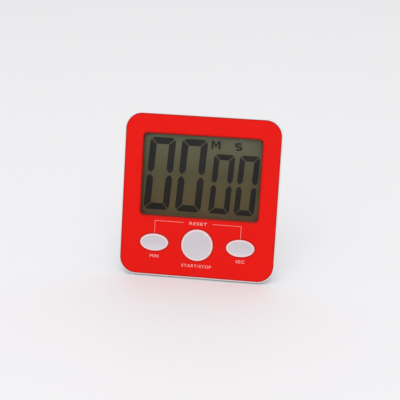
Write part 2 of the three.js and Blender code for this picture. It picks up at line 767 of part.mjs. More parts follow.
function batterySpring() {
  const start = seatGap + contactThickness - bayHalfLength;
  const length = cellLeft - seatGap - springWire - start;
  const coil = wire(new Helix(springRadius, length, springTurns), springWire, 14 * springTurns, 3);
  coil.translate(start, cellDepth, cellLevel);
  return joined(contactPlate(-1), solid(coil));
}

// ---------------------------------------------------------------- stand

// The leg as it hangs when folded, about its hinge axis. Its foot is flat on the table when it is open.
function standLeg() {
  const half = legThickness / 2;
  const rise = half * Math.tan(legSplay);
  const profile = new THREE.Shape();
  profile.moveTo(-half, heelLength);
  profile.lineTo(-half, rise - legLength);
  profile.lineTo(half, -rise - legLength);
  profile.lineTo(half, heelLength);
  const across = new THREE.ExtrudeGeometry(profile, { depth: legWidth, bevelEnabled: false });
  across.translate(0, 0, -legWidth / 2).applyMatrix4(new THREE.Matrix4().makeBasis(
    new THREE.Vector3(0, 1, 0), new THREE.Vector3(0, 0, 1), new THREE.Vector3(1, 0, 0)));
  const outline = slab(legWidth, 2 * (legLength + rise), legRadius, -half - overcut, half + overcut);
  const reach = legWidth / 2 + slideGap + pinLength;
  const pin = new THREE.CylinderGeometry(pinRadius, pinRadius, 2 * reach, midSides).rotateZ(Math.PI / 2);
  return joined(solid(across).intersect(solid(outline)), solid(pin));
}

// ---------------------------------------------------------------- sounder and wires

const sounderBack = bodyDepth - backWall - sounderSeat - seatGap;
const sounderFront = sounderBack - sounderThickness;
const ceramicBack = sounderFront - seatGap;
const ceramicFront = ceramicBack - ceramicThickness;

function sounderDisc() {
  return rod(sounderRadius, sounderFront, sounderBack, wingMiddle, sounderLevel, fineSides);
}

function sounderCeramic() {
  return rod(ceramicRadius, ceramicFront, ceramicBack, wingMiddle, sounderLevel, fineSides);
}

function lead(points, steps) {
  const path = new THREE.CatmullRomCurve3(points.map(([x, y, z]) => new THREE.Vector3(x, y, z)));
  return wire(path, wireRadius, steps, 3);
}

// From a contact's solder tab down to the back of the board, on the left (-1) or the right (1).
function batteryLead(side) {
  const landing = boardBack + stopGap;
  const boardLevel = rearGlassBottom - padInset;
  const tabSide = side * (tabEnd + stopGap);
  return lead([
    [tabSide, tabDepth, cellLevel],
    [tabSide + side * 0.7 * leadBow, tabDepth + leadRise / 4, cellLevel - leadRise],
    [tabSide + side * leadBow, tabDepth + leadRise, (cellLevel + boardLevel) / 2],
    [tabSide + side * 0.5 * leadBow, landing + leadRise, boardLevel + 2 * leadRise],
    [tabSide, landing + 0.8 * leadRise, boardLevel],
    [tabSide, landing, boardLevel],
  ], 22);
}

// From a point [x, z] on the sounder to a pad on the board, both from the disc's middle.
function sounderLead([pointX, pointZ], fromDepth, [padX, padZ]) {
  const fromX = wingMiddle + pointX;
  const fromZ = sounderLevel + pointZ;
  const toX = wingMiddle + padX;
  const toZ = sounderLevel + padZ;
  const landing = boardBack + stopGap;
  return lead([
    [fromX, fromDepth - stopGap, fromZ],
    [fromX, fromDepth - stopGap - leadRise / 2, fromZ],
    [toX, landing + 0.6 * leadRise, toZ],
    [toX, landing, toZ],
  ], 12);
}

// ---------------------------------------------------------------- finishes

function finish(color, roughness, metalness = 0) {
  return new THREE.MeshStandardMaterial({ color, roughness, metalness });
}

const finishes = {
  whiteCase: () => finish(0xe9e8ea, 0.4),
  redPlate: () => finish(0xe0201a, 0.25),
  paleButton: () => finish(0xcfccd2, 0.35),
  clearLens: () => finish(0xdfe4e2, 0.05),
  displayGlass: () => finish(0x5f5c4b, 0.2),
  foam: () => finish(0x3a3a3a, 0.9),
  rubber: () => finish(0xd9c8c0, 0.8),
  board: () => finish(0x2f6b3a, 0.5),
  blackPart: () => finish(0x1c1c1e, 0.6),
  ceramicPart: () => finish(0xb58a5a, 0.6),
  steel: () => finish(0xb8babd, 0.3, 1),
  brass: () => finish(0xc8a24a, 0.35, 1),
  copper: () => finish(0xb36a3a, 0.4, 1),
  cellJacket: () => finish(0x33363b, 0.35, 0.3),
  redWire: () => finish(0xb3201c, 0.5),
  blackWire: () => finish(0x222224, 0.5),
};

// ---------------------------------------------------------------- assembly

const body = new THREE.Group();
body.rotation.x = -lean;
body.position.z = (bodyHeight / 2) * Math.cos(lean) + baseSetback * Math.sin(lean);

function add(name, shape, material, parent = body) {
  const geometry = shape.isBufferGeometry ? shape : meshGeometry(shape);
  const mesh = new THREE.Mesh(geometry, material);
  mesh.name = name;
  parent.add(mesh);
  return mesh;
}

add('front_housing', frontHousing(), finishes.whiteCase());
add('face_plate', facePlate(), finishes.redPlate());
add('display_window', displayWindow(), finishes.clearLens());
add('display_panel', displayPanel(), finishes.displayGlass());
add('display_backing', displayBacking(), finishes.foam());
add('connector_strip', connectorStrip(), finishes.rubber());
add('connector_holder', connectorHolder(), finishes.blackPart());
add('circuit_board', circuitBoard(), finishes.board());

for (const button of buttons) {
  add(`${button.name}_button`, buttonCap(button), finishes.paleButton());
  const plunger = add(`${button.name}_plunger`, switchPlunger(), finishes.blackPart());
  plunger.position.set(button.x, 0, buttonLevel);
  const housing = add(`${button.name}_switch`, switchBody(), finishes.steel());
  housing.position.set(button.x, 0, buttonLevel);
}

// A block with the middle of its foot at the origin.
function boxPart([width, depth, height]) {
  return new THREE.BoxGeometry(width, depth, height).translate(0, depth / 2, 0);
}

// Parts soldered to the back of the board, each placed by the middle of its foot.
const onBoard = boardBack + seatGap;
const crystal = new THREE.CylinderGeometry(crystalRadius, crystalRadius, crystalLength, plainSides);
crystal.rotateZ(Math.PI / 2).translate(0, crystalRadius, 0);
const capacitor = rod(capacitorRadius, 0, capacitorHeight, 0, 0, midSides);
const boardParts = [
  ['chip_cover', rod(chipRadius, 0, chipHeight), finishes.blackPart(), chipPlace],
  ['quartz_crystal', crystal, finishes.steel(), crystalPlace],
  ['sounder_coil', rod(coilRadius, 0, coilHeight, 0, 0, midSides), finishes.copper(), coilPlace],
  ['supply_capacitor', capacitor, finishes.blackPart(), capacitorPlace],
  ['driver_transistor', boxPart(transistorSize), finishes.blackPart(), transistorPlace],
  ['bias_resistor', boxPart(resistorSize), finishes.ceramicPart(), biasResistorPlace],
  ['sounder_resistor', boxPart(resistorSize), finishes.ceramicPart(), sounderResistorPlace],
];
for (const [name, geometry, material, [x, z]] of boardParts) {
  add(name, geometry, material).position.set(x, onBoard, z);
}

boardScrewPlaces.forEach(([x, z], i) => {
  const shape = screw(boardScrewRadius, boardScrewLength, boardHeadRadius, boardHeadHeight);
  add(`board_screw_${i + 1}`, shape, finishes.steel()).position.set(x, onBoard, z);
});

add('back_cover', backCover(), finishes.whiteCase());
add('battery_door', batteryDoor(), finishes.whiteCase());
add('battery_cell', batteryCell(), finishes.cellJacket());
add('battery_spring', batterySpring(), finishes.steel());
add('positive_contact', contactPlate(1), finishes.steel());
add('positive_wire', batteryLead(1), finishes.redWire());
add('negative_wire', batteryLead(-1), finishes.blackWire());

add('sounder_disc', sounderDisc(), finishes.brass());
add('sounder_ceramic', sounderCeramic(), finishes.ceramicPart());
add('sounder_signal_wire', sounderLead(signalPoint, ceramicFront, signalPad), finishes.redWire());
add('sounder_return_wire', sounderLead(returnPoint, sounderFront, returnPad), finishes.blackWire());

for (const [name, side] of [['magnet_left', -1], ['magnet_right', 1]]) {
  const disc = rod(magnetRadius, -magnetThickness, 0, 0, 0, fineSides);
  add(name, disc, finishes.steel()).position.set(side * wingMiddle, bodyDepth, magnetLevel);
}

caseScrewPlaces.forEach(([x, z], i) => {
  const shape = screw(caseScrewRadius, caseScrewLength, caseHeadRadius, caseHeadHeight);
  add(`case_screw_${i + 1}`, shape, finishes.steel()).position.set(x, caseScrewSeat, z);
});

// The stand turns about its hinge; it is open against its stop.
const stand = new THREE.Group();
stand.position.set(0, legDepth, hingeLevel);
stand.rotation.x = legAngle;
body.add(stand);
add('stand_leg', standLeg(), finishes.whiteCase(), stand);

// The origin is on the table, under the middle of the timer's footprint.
const timer = new THREE.Group();
timer.add(body);
timer.updateMatrixWorld(true);
const extent = new THREE.Box3().setFromObject(timer, true);
body.position.y -= (extent.min.y + extent.max.y) / 2;
timer.updateMatrixWorld(true);

export default timer;
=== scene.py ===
# %% [markdown]
# # A digital kitchen timer, piece by piece
#
# The timer's solid model is already packed as a frame of separate nodes. This lesson gives that frame
# its looks: a thin round on each moulded edge, a red plate, buttons, display figures, printed marks
# and a node-based finish for every piece. It could all be modelled by hand in the viewport, but
# written as a script each size stays visible and can be changed and run again.

import json
import math

import bmesh
import bpy
import numpy as np
from mathutils.geometry import tessellate_polygon
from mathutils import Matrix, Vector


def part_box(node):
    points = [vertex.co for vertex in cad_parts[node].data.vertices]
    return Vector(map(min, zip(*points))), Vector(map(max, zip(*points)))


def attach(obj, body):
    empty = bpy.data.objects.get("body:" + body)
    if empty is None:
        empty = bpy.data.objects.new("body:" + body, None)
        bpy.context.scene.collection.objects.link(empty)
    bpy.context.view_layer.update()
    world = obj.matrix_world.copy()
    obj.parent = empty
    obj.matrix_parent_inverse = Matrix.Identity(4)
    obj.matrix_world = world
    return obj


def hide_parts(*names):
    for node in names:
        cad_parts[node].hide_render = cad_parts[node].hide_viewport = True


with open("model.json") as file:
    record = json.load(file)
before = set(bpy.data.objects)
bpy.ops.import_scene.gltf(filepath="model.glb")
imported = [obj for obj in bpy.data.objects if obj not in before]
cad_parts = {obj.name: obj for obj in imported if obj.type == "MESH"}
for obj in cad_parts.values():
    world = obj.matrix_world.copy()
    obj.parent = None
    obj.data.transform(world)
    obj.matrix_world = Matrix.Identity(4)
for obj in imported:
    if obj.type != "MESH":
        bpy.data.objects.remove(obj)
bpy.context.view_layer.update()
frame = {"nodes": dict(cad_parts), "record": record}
nodes = frame["nodes"]

# %% [markdown]
# ## The leaning body's own directions
#
# The timer leans back on its stand, so its face isn't upright. Every piece on it is easier to draw in
# the body's own millimetres: x to the right, y from the face into the body, z up along the face, with
# zero in the middle of the face. One turn about x and one shift then carry the points to the table.
# The shift comes from the face plate itself: the middle of its box is the middle of the plate.

# %% From the face's millimetres to the table's metres
MM = 0.001
LEAN = math.radians(15)
PLATE_THICKNESS = 1.0

TURN = np.array([
    [1, 0, 0],
    [0, math.cos(LEAN), math.sin(LEAN)],
    [0, -math.sin(LEAN), math.cos(LEAN)],
])
plate_corners = np.array([list(corner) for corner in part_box("face_plate")])
FACE_ORIGIN = plate_corners.mean(0) - TURN @ np.array([0, PLATE_THICKNESS / 2, 0]) * MM


def to_table(points):
    """Row points in metres: the turn times the face's points in millimetres, then the shift."""
    return np.asarray(points, float) @ TURN.T * MM + FACE_ORIGIN


def to_face(points):
    """Face points in millimetres: the same turn and shift taken backwards."""
    return (np.asarray(points, float) - FACE_ORIGIN) @ TURN / MM


print("the face's middle on the table, in mm:", np.round(FACE_ORIGIN / MM, 2))

# %% Measuring the nodes along the face
def point_array(mesh):
    """A mesh's points in the face's millimetres."""
    points = np.zeros(3 * len(mesh.vertices), np.float32)
    mesh.vertices.foreach_get("co", points)
    return to_face(points.reshape(-1, 3))


def face_box(node):
    """Lowest and highest corner of a node along the face's own directions, in millimetres."""
    points = point_array(nodes[node].data)
    return points.min(0), points.max(0)


def across_face(node):
    """The middle and the size of a node's box across the face, each as (x, z)."""
    low, high = (corner[[0, 2]] for corner in face_box(node))
    return (low + high) / 2, high - low


for name in ("face_plate", "display_window", "display_panel", "start_stop_button", "back_cover"):
    middle, size = across_face(name)
    print(name, "middle", np.round(middle, 2), "size", np.round(size, 2))

# %% [markdown]
# ## A camera just above and to the right
#
# The timer is seen from a little above, with the camera turned slightly off its middle and tipped by
# about a degree. The place and the turn are written as they are, because a viewpoint is a choice and
# not a part of the object. A long lens keeps the sides of the face nearly parallel.

# %% Camera
CAMERA_PLACE = (0.0527, -0.4628, 0.2237)
CAMERA_TURN = (68.144, -1.462, 7.193)
LENS_MM = 85.8
SENSOR_MM = 36
NEAR_AND_FAR = (0.01, 20)

camera_data = bpy.data.cameras.new("camera")
camera_data.lens = LENS_MM
camera_data.sensor_width = SENSOR_MM
camera_data.clip_start, camera_data.clip_end = NEAR_AND_FAR
camera = bpy.data.objects.new("camera", camera_data)
camera.location = CAMERA_PLACE
camera.rotation_euler = [math.radians(angle) for angle in CAMERA_TURN]
bpy.context.scene.collection.objects.link(camera)
bpy.context.scene.camera = camera
print("camera", CAMERA_PLACE, "lens", LENS_MM)

# %% [markdown]
# ## Putting arrays of points into a mesh
#
# Blender can build a mesh point by point, but whole arrays are faster and read more like the formula
# that made them. The helper below takes points in the face's millimetres and lists of face corners. It
# measures the signed volume, which is negative where the faces look inwards, and turns them over.

# %% Points and faces into a piece
CRISP_ANGLE = math.radians(35)


def signed_volume(points, faces):
    """A sixth of the sum, over a fan of triangles in each face, of first . (second x third) corner."""
    total = 0.0
    for face in faces:
        corners = points[list(face)]
        first, second, third = corners[:1], corners[1:-1], corners[2:]
        total += np.sum(np.cross(second, third) @ first[0]) / 6
    return total


def make_piece(name, points, faces, material):
    """A mesh object from face points in millimetres; edges sharper than CRISP_ANGLE stay crisp."""
    points = to_table(points)
    if signed_volume(points - points.mean(0), faces) < 0:
        faces = [tuple(face)[::-1] for face in faces]
    mesh = bpy.data.meshes.new(name)
    mesh.from_pydata(points.tolist(), [], [tuple(int(i) for i in face) for face in faces])
    mesh.polygons.foreach_set("use_smooth", [True] * len(mesh.polygons))
    mesh.set_sharp_from_angle(angle=CRISP_ANGLE)
    mesh.materials.append(material)
    piece = bpy.data.objects.new(name, mesh)
    bpy.context.scene.collection.objects.link(piece)
    print(name, len(points), "points,", len(mesh.polygons), "faces")
    return piece


cube_corner = np.vstack([np.zeros(3), np.eye(3)])
corner_faces = [(0, 2, 1), (0, 1, 3), (0, 3, 2), (1, 2, 3)]
print("a corner cut off a unit cube holds", round(signed_volume(cube_corner, corner_faces), 4))

# %% [markdown]
# ## Outlines and the profiles carried round them
#
# Most of the timer's own pieces are one idea: a flat outline, and a profile carried round it. Each
# (inset, depth) pair of the profile makes a ring, which is the outline moved inwards by the inset, at
# that depth. Quads join the rings, and one face closes each end. A curve with a bevel could do it too,
# but here the same few functions serve the plate, the buttons, the window and the magnets.

# %% Rings joined into a solid
def ring_faces(rings, count, first=0):
    """Quads between each ring of count points and the next, closed round the ring."""
    here = np.arange(count)
    beside = np.roll(here, -1)
    faces = []
    for ring in range(rings - 1):
        a, b = first + ring * count, first + (ring + 1) * count
        faces += np.stack([a + here, a + beside, b + beside, b + here], 1).tolist()
    return faces


def end_faces(rings, count):
    """One face over the first ring, wound backwards, and one over the last."""
    return [tuple(range(count))[::-1], tuple(range((rings - 1) * count, rings * count))]


def at_depths(flat, depth):
    """Points (x, y, z) from rings of (x, z) points, each ring at its own depth y."""
    y = np.broadcast_to(np.asarray(depth, float)[:, None], flat.shape[:2])
    return np.stack([flat[..., 0], y, flat[..., 1]], -1)


def stacked(flat, depth):
    """Rings of (x, z) points, each at its own depth, skinned and closed at the first and the last."""
    points = at_depths(flat, depth)
    rings, count = points.shape[:2]
    return points.reshape(-1, 3), ring_faces(rings, count) + end_faces(rings, count)


print("faces of two rings of 8:", len(ring_faces(2, 8) + end_faces(2, 8)))

# %% Profiles carried round an outline
def inset_rings(outline, normals, profile):
    """For each (inset, depth) pair, the outline moved inwards along its normals by the inset."""
    inset, depth = np.array(profile, float).T
    return outline[None] - inset[:, None, None] * normals[None], depth


def loft(outline, normals, profile):
    """A profile of (inset, depth) pairs carried round an outline, as a closed solid."""
    return stacked(*inset_rings(outline, normals, profile))


def quarter_round(radius, inset, depth, start, end, steps=6):
    """(inset, depth) pairs round an arc about (inset, depth), from one angle to the other.

    At 0 degrees the arc points outwards, which is a smaller inset, and at 90 degrees to the front."""
    angle = np.radians(np.linspace(start, end, steps + 1))
    return [(inset - radius * math.cos(a), depth - radius * math.sin(a)) for a in angle]


print("a quarter round of 1 mm:", np.round(quarter_round(1, 1, 1, 90, 0, 3), 2).tolist())

# %% Outlines and their normals
def ellipse(half_width, half_height, count=96):
    """Points (a cos t, b sin t) and the unit normals (b cos t, a sin t) made one long."""
    t = np.linspace(0, 2 * np.pi, count, endpoint=False)
    outline = np.stack([half_width * np.cos(t), half_height * np.sin(t)], 1)
    normals = np.stack([half_height * np.cos(t), half_width * np.sin(t)], 1)
    return outline, normals / np.linalg.norm(normals, axis=1, keepdims=True)


def round_rectangle(width, height, radius, per_corner=12):
    """Four quarter circles about the corner middles; the normal is the direction from its middle."""
    t = np.linspace(0, np.pi / 2, per_corner + 1)
    turns = np.concatenate([t + quarter * np.pi / 2 for quarter in range(4)])
    normals = np.stack([np.cos(turns), np.sin(turns)], 1)
    side = np.repeat([[1, 1], [-1, 1], [-1, -1], [1, -1]], per_corner + 1, axis=0)
    middles = side * np.array([width / 2 - radius, height / 2 - radius])
    return middles + radius * normals, normals


unit_disc = loft(*ellipse(1, 1), [(0, 0), (0, 1)])
print("a disc of radius 1 and depth 1 holds", round(abs(signed_volume(*unit_disc)), 3), "- nearly pi")

# %% [markdown]
# ## Finishes
#
# A moulded plastic is never one flat colour. Light pools in the fine texture of the mould, the tint
# drifts slightly over a large surface, and handling polishes some places more than others. Painted
# textures could show that, but each would have to be fitted to its piece. Here one function gives each
# finish those three layers from noise in the object's own coordinates, so nothing slides when the
# camera moves. The grain is given by its size in metres.

# %% Nodes and the sockets that feed them
# A Mix node has sockets of the same names for numbers, vectors and colours, so its colours go by number.
MIX_FIRST, MIX_SECOND, MIX_RESULT = 6, 7, 2


def feed(tree, node, inputs):
    """Each named input linked to a socket, or set to a number or a colour."""
    for key, value in inputs.items():
        if isinstance(value, bpy.types.NodeSocket):
            tree.links.new(value, node.inputs[key])
        else:
            node.inputs[key].default_value = value if isinstance(value, (int, float)) else (*value, 1)


def add_node(tree, kind, inputs=None, **settings):
    """A new shader node with its settings, its inputs fed."""
    node = tree.nodes.new("ShaderNode" + kind)
    for setting, value in settings.items():
        setattr(node, setting, value)
    feed(tree, node, inputs or {})
    return node


def blended(tree, amount, first, second):
    """A colour between two: the first times 1 - amount and the second times the amount."""
    inputs = {"Factor": amount, MIX_FIRST: first, MIX_SECOND: second}
    return add_node(tree, "Mix", inputs, data_type="RGBA").outputs[MIX_RESULT]


def ranged(tree, value, low, high, to_low=0.0, to_high=1.0, **settings):
    """A value's place between low and high, carried over to another range."""
    inputs = {"Value": value, "From Min": low, "From Max": high, "To Min": to_low, "To Max": to_high}
    return add_node(tree, "MapRange", inputs, **settings).outputs["Result"]


print("node helpers ready")

# %% A finish from three layers of noise
NOISE_MIDDLE = (0.3, 0.7)
POLISH = 0.12


def noise(tree, size, detail):
    """A noise texture whose features are about the given size in metres."""
    coordinates = add_node(tree, "TexCoord").outputs["Object"]
    inputs = {"Vector": coordinates, "Scale": 1 / size, "Detail": detail}
    return add_node(tree, "TexNoise", inputs).outputs["Fac"]


def spread(tree, size, detail, low, high):
    """The middle of a noise's values stretched over a range."""
    return ranged(tree, noise(tree, size, detail), *NOISE_MIDDLE, low, high)


def finish(name, colour, rough, grain=0.0002, relief=0.000004, drift=0.03, patch=0.02, shine=0.5,
           metal=0.0, coat=0.0):
    """A Principled material: drifting tint, patches of polish and a fine moulded grain.

    The tint goes from 1 - drift to 1 + drift times the colour and the roughness from 1 - POLISH to
    1 + POLISH times its own, each by a noise. The grain's bumps are as deep as the relief, in metres."""
    material = bpy.data.materials.new(name)
    material.use_nodes = True
    tree = material.node_tree
    darker = [c * (1 - drift) for c in colour]
    lighter = [min(1.0, c * (1 + drift)) for c in colour]
    bump = add_node(tree, "Bump", {"Distance": relief, "Height": noise(tree, grain, 3.0)})
    feed(tree, tree.nodes["Principled BSDF"], {
        "Base Color": blended(tree, spread(tree, patch, 2.0, 0.0, 1.0), darker, lighter),
        "Roughness": spread(tree, patch / 3, 4.0, rough * (1 - POLISH), rough * (1 + POLISH)),
        "Normal": bump.outputs["Normal"],
        "Specular IOR Level": shine,
        "Metallic": metal,
        "Coat Weight": coat,
    })
    return material


white_case = finish("white_case", (0.78, 0.77, 0.782), 0.45, grain=0.00025, relief=0.000006, shine=0.3)
print("shell finish:", white_case.name, "with", len(white_case.node_tree.nodes), "nodes")

# %% A finish with a painted shade or painted highlight towards an edge
def painted_light_tinted(material, edge):
    """The same finish, with its colour going over to a painted shade or painted highlight colour by each
    point's own edge attribute.
    """
    tree = material.node_tree
    shader = tree.nodes["Principled BSDF"]
    tinted = shader.inputs["Base Color"].links[0].from_socket
    share = add_node(tree, "Attribute", attribute_name="edge").outputs["Fac"]
    feed(tree, shader, {"Base Color": blended(tree, share, tinted, edge)})


def set_painted_light_share(piece, values):
    """Each point's share of painted shade or painted highlight, kept as its edge attribute: 0 where the
    main colour shows and 1 where the painted colour does.
    """
    attribute = piece.data.attributes.new("edge", "FLOAT", "POINT")
    attribute.data.foreach_set("value", np.asarray(values, np.float32))


red_plate = finish("red_plate", (0.79, 0.0045, 0.001), 0.36, grain=0.0004, relief=0.000002,
                   drift=0.02, shine=0.14)
# The dark red is painted shade, which the plate's edges go over to.
painted_light_tinted(red_plate, (0.17, 0.009, 0.004))
print("plate finish:", red_plate.name, "with", len(red_plate.node_tree.nodes), "nodes")

# %% Metals, inks and the finishes inside the case
black_plastic = finish("black_plastic", (0.02, 0.02, 0.022), 0.5)
white_ink = finish("white_ink", (0.84, 0.46, 0.43), 0.5, grain=0.0001, relief=0.000002)
steel = finish("steel", (0.62, 0.63, 0.64), 0.32, grain=0.0003, drift=0.06, patch=0.003, metal=1.0)
brass = finish("brass", (0.66, 0.48, 0.17), 0.34, grain=0.0003, drift=0.08, patch=0.004, metal=1.0)
copper = finish("copper", (0.6, 0.28, 0.13), 0.36, grain=0.0002, drift=0.1, patch=0.002, metal=1.0)
foam = finish("foam", (0.03, 0.03, 0.03), 0.9, grain=0.0003, relief=0.00005)
connector_rubber = finish("connector_rubber", (0.68, 0.55, 0.5), 0.75, grain=0.0003)
green_board = finish("green_board", (0.012, 0.1, 0.03), 0.35, grain=0.0005, relief=0.00001, coat=0.4)
ceramic = finish("ceramic", (0.5, 0.36, 0.22), 0.6, grain=0.0002)
cell_jacket = finish("cell_jacket", (0.03, 0.035, 0.045), 0.33, drift=0.1, coat=0.5)
pale_mark = finish("pale_mark", (0.75, 0.74, 0.7), 0.5)
red_wire = finish("red_wire", (0.5, 0.012, 0.01), 0.45)
black_wire = finish("black_wire", (0.012, 0.012, 0.014), 0.45)
print("finishes:", len(bpy.data.materials))

# %% [markdown]
# ## Moulded parts with a soft edge
#
# The shells, the battery door and the leg already have their right shapes in the frame, so drawing
# them again would only add mistakes. What they lack is the tiny round that every moulded edge has,
# which is what catches the light. Each one is copied, its loose triangles are merged into one skin, and
# a Bevel modifier rounds the sharp edges. Weighted normals keep the large faces flat.
#
# Two more things are done to the shells. Their round corners come as facets, so each facet is split in
# two, and in two again, and the new points are put on the true circle. The front shell's lip is drawn
# in by a tenth of a millimetre, so that the joint round the plate is as fine as on the real timer.

# %% Bodies and slots
BODIES = frame["record"]["behaviour"]["bodies"]
BODY_OF = {node: body for body, members in BODIES.items() for node in members}
SLOT_OF = {row["node"]: row["material_slot"] for row in frame["record"]["subparts"]}


def stand_for(piece, *replaced):
    """The piece takes the place of CAD nodes: their body, and their turn to be shown."""
    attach(piece, BODY_OF[replaced[0]])
    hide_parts(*replaced)
    return piece


print("bodies:", sorted(BODIES))

# %% Finding the facets of the round corners
CORNER = np.array([31.7, 33.4])
CORNER_RADII = (6, 10)
FACET_MARGIN = 0.5
PAST_MIDDLE = 0.1
SAME_PLACE = 1e-3


def true_middles(first, second, facet):
    """Which edges are facets of a round corner, and where on its circle each edge's middle belongs.

    The middle of a corner's circle lies at CORNER less some shift d on both axes. It is as far from
    both ends a and b of a facet, so 2 (a - b) . (CORNER - d (1, 1)) = a . a - b . b gives d. The edge
    spans twice the arcsine of half its length over the radius."""
    a, b = np.abs(first[:, [0, 2]]), np.abs(second[:, [0, 2]])
    step = a - b
    slope = np.where(np.abs(step.sum(1)) < SAME_PLACE, np.inf, step.sum(1))
    shift = (step @ CORNER - ((a * a).sum(1) - (b * b).sum(1)) / 2) / slope
    centre = CORNER - shift[:, None]
    radius = np.linalg.norm(a - centre, axis=1)
    span = 2 * np.degrees(np.arcsin(np.minimum(1, np.linalg.norm(step, axis=1) / 2 / radius)))
    same_corner = (np.sign(first) == np.sign(second))[:, [0, 2]].all(1)
    beyond = (np.minimum(a, b) > centre - PAST_MIDDLE).all(1)
    right_size = (radius > CORNER_RADII[0]) & (radius < CORNER_RADII[1])
    is_facet = same_corner & beyond & right_size & (np.abs(span - facet) < FACET_MARGIN)
    middle = (first + second) / 2
    outwards = np.abs(middle[:, [0, 2]]) - centre
    outwards *= (radius / np.linalg.norm(outwards, axis=1))[:, None]
    target = middle.copy()
    target[:, [0, 2]] = np.sign(middle[:, [0, 2]]) * (centre + outwards)
    return is_facet, target


print("the corner circles have their middles on the diagonal through", CORNER, "mm")

# %% Splitting the facets
CORNER_FACET = 11.25


def halved_facets(mesh, facet):
    """Each facet of the round corners split at its middle, which then moves out to the true circle.

    A new point is known by its place, half-way along an edge. None goes below the table."""
    ends = np.zeros(2 * len(mesh.edges), np.int32)
    mesh.edges.foreach_get("vertices", ends)
    first, second = point_array(mesh)[ends.reshape(-1, 2).T]
    is_facet, target = true_middles(first, second, facet)
    work = bmesh.new()
    work.from_mesh(mesh)
    chosen = [edge for edge, is_chosen in zip(work.edges, is_facet) if is_chosen]
    bmesh.ops.subdivide_edges(work, edges=chosen, cuts=1, use_grid_fill=True)
    work.to_mesh(mesh)
    work.free()
    points = point_array(mesh)
    middle, target = ((first + second) / 2)[is_facet], target[is_facet]
    apart = np.linalg.norm(points[:, None] - middle[None], axis=2)
    fresh = apart.min(1) < SAME_PLACE
    points[fresh] = target[apart.argmin(1)[fresh]]
    placed = to_table(points)
    placed[:, 2] = np.maximum(placed[:, 2], 0)
    mesh.vertices.foreach_set("co", placed.astype(np.float32).ravel())
    print("facets of", facet, "degrees split:", len(chosen))


print("facets to split twice:", CORNER_FACET, "degrees each")

# %% Softened copies of the moulded nodes
MERGE_DISTANCE = 1e-6
FLAT_ANGLE = math.radians(0.2)
SHARP_ANGLE = math.radians(32)


def softened(node, name, edge_round, material, segments=3, corner_facet=None):
    """A merged copy of a node, with its flat faces joined and its sharp edges rounded, in mm."""
    mesh = nodes[node].data.copy()
    mesh.name = name
    work = bmesh.new()
    work.from_mesh(mesh)
    bmesh.ops.remove_doubles(work, verts=work.verts, dist=MERGE_DISTANCE)
    bmesh.ops.dissolve_limit(work, angle_limit=FLAT_ANGLE, verts=work.verts, edges=work.edges)
    work.to_mesh(mesh)
    work.free()
    if corner_facet:
        halved_facets(mesh, corner_facet)
        halved_facets(mesh, corner_facet / 2)
    mesh.materials.clear()
    mesh.materials.append(material)
    mesh.polygons.foreach_set("use_smooth", [True] * len(mesh.polygons))
    piece = bpy.data.objects.new(name, mesh)
    bpy.context.scene.collection.objects.link(piece)
    bevel = piece.modifiers.new("edge_round", "BEVEL")
    bevel.width = edge_round * MM
    bevel.segments = segments
    bevel.limit_method = "ANGLE"
    bevel.angle_limit = SHARP_ANGLE
    piece.modifiers.new("flat_faces", "WEIGHTED_NORMAL").keep_sharp = True
    print(name, "from", node, ":", len(mesh.polygons), "faces before rounding")
    return stand_for(piece, node)


front_shell = softened("front_housing", "front_shell", 0.12, white_case, corner_facet=CORNER_FACET)

# %% The lip drawn in round the plate
PLATE_RADIUS = 8.3
SEAT_GAP = 0.25
WALL_REACH = 0.06
LIP_IN = 0.1
plate_half = across_face("face_plate")[1] / 2


def drawn_in(mesh, amount):
    """The lip's inner wall moved towards the plate, at right angles to the plate's outline.

    The distance to a rectangle with round corners is that to its corner's middle, less the radius.
    The wall is where that distance is the seat's gap."""
    points = point_array(mesh)
    flat = points[:, [0, 2]]
    beyond = np.maximum(np.abs(flat) - (plate_half - PLATE_RADIUS), 0)
    distance = np.linalg.norm(beyond, axis=1)
    wall = np.abs(distance - PLATE_RADIUS - SEAT_GAP) < WALL_REACH
    flat[wall] -= (np.sign(flat) * beyond)[wall] / distance[wall, None] * amount
    points[:, [0, 2]] = flat
    mesh.vertices.foreach_set("co", to_table(points).astype(np.float32).ravel())
    print("points of the lip's wall moved:", int(wall.sum()))


drawn_in(front_shell.data, LIP_IN)

# %% Back cover, battery door and leg
softened("back_cover", "back_shell", 0.15, white_case, corner_facet=CORNER_FACET)
softened("battery_door", "battery_lid_panel", 0.15, white_case)
softened("stand_leg", "stand_leg_panel", 0.3, white_case)

# %% [markdown]
# ## The red plate
#
# The plate is a flat sheet with four openings. Cutting them with a boolean would leave long thin faces
# along every edge, so the sheet is worked out from its outlines: each outline carries a small profile
# from the front to the back, and the flat faces between the outlines are filled in. The opening for
# the display has a wider round, and a painted shade darkens the red down that round. A lighter painted
# shade darkens it a little at the outer edge and round the button holes too. The sheet is a twentieth
# of a millimetre larger all round than the node it stands for, so that it fills its seat.

# %% Edges and flat faces of a sheet
PLATE_EDGE = 0.08


def edge_profile(edge_round, outwards=1):
    """(inset, depth) pairs from the flat front over a round edge and down to the flat back."""
    arc = quarter_round(edge_round, edge_round, edge_round, 90, 0)
    back = [(0, PLATE_THICKNESS - PLATE_EDGE), (PLATE_EDGE, PLATE_THICKNESS)]
    return [(outwards * inset, depth) for inset, depth in arc + back]


def filled(outlines, first, towards):
    """Triangles over the flat face between outlines, wound so that twice each one's area has one sign."""
    corners = np.concatenate(outlines)
    loops = [[(x, z, 0.0) for x, z in outline] for outline in outlines]
    triangles = np.array(tessellate_polygon(loops))
    a, b, c = corners[triangles].transpose(1, 0, 2)
    area = (b - a)[:, 0] * (c - a)[:, 1] - (b - a)[:, 1] * (c - a)[:, 0]
    wrong = area * towards < 0
    triangles[wrong] = triangles[wrong][:, ::-1]
    return first[triangles]


print("steps down a plain edge:", len(edge_profile(PLATE_EDGE)))

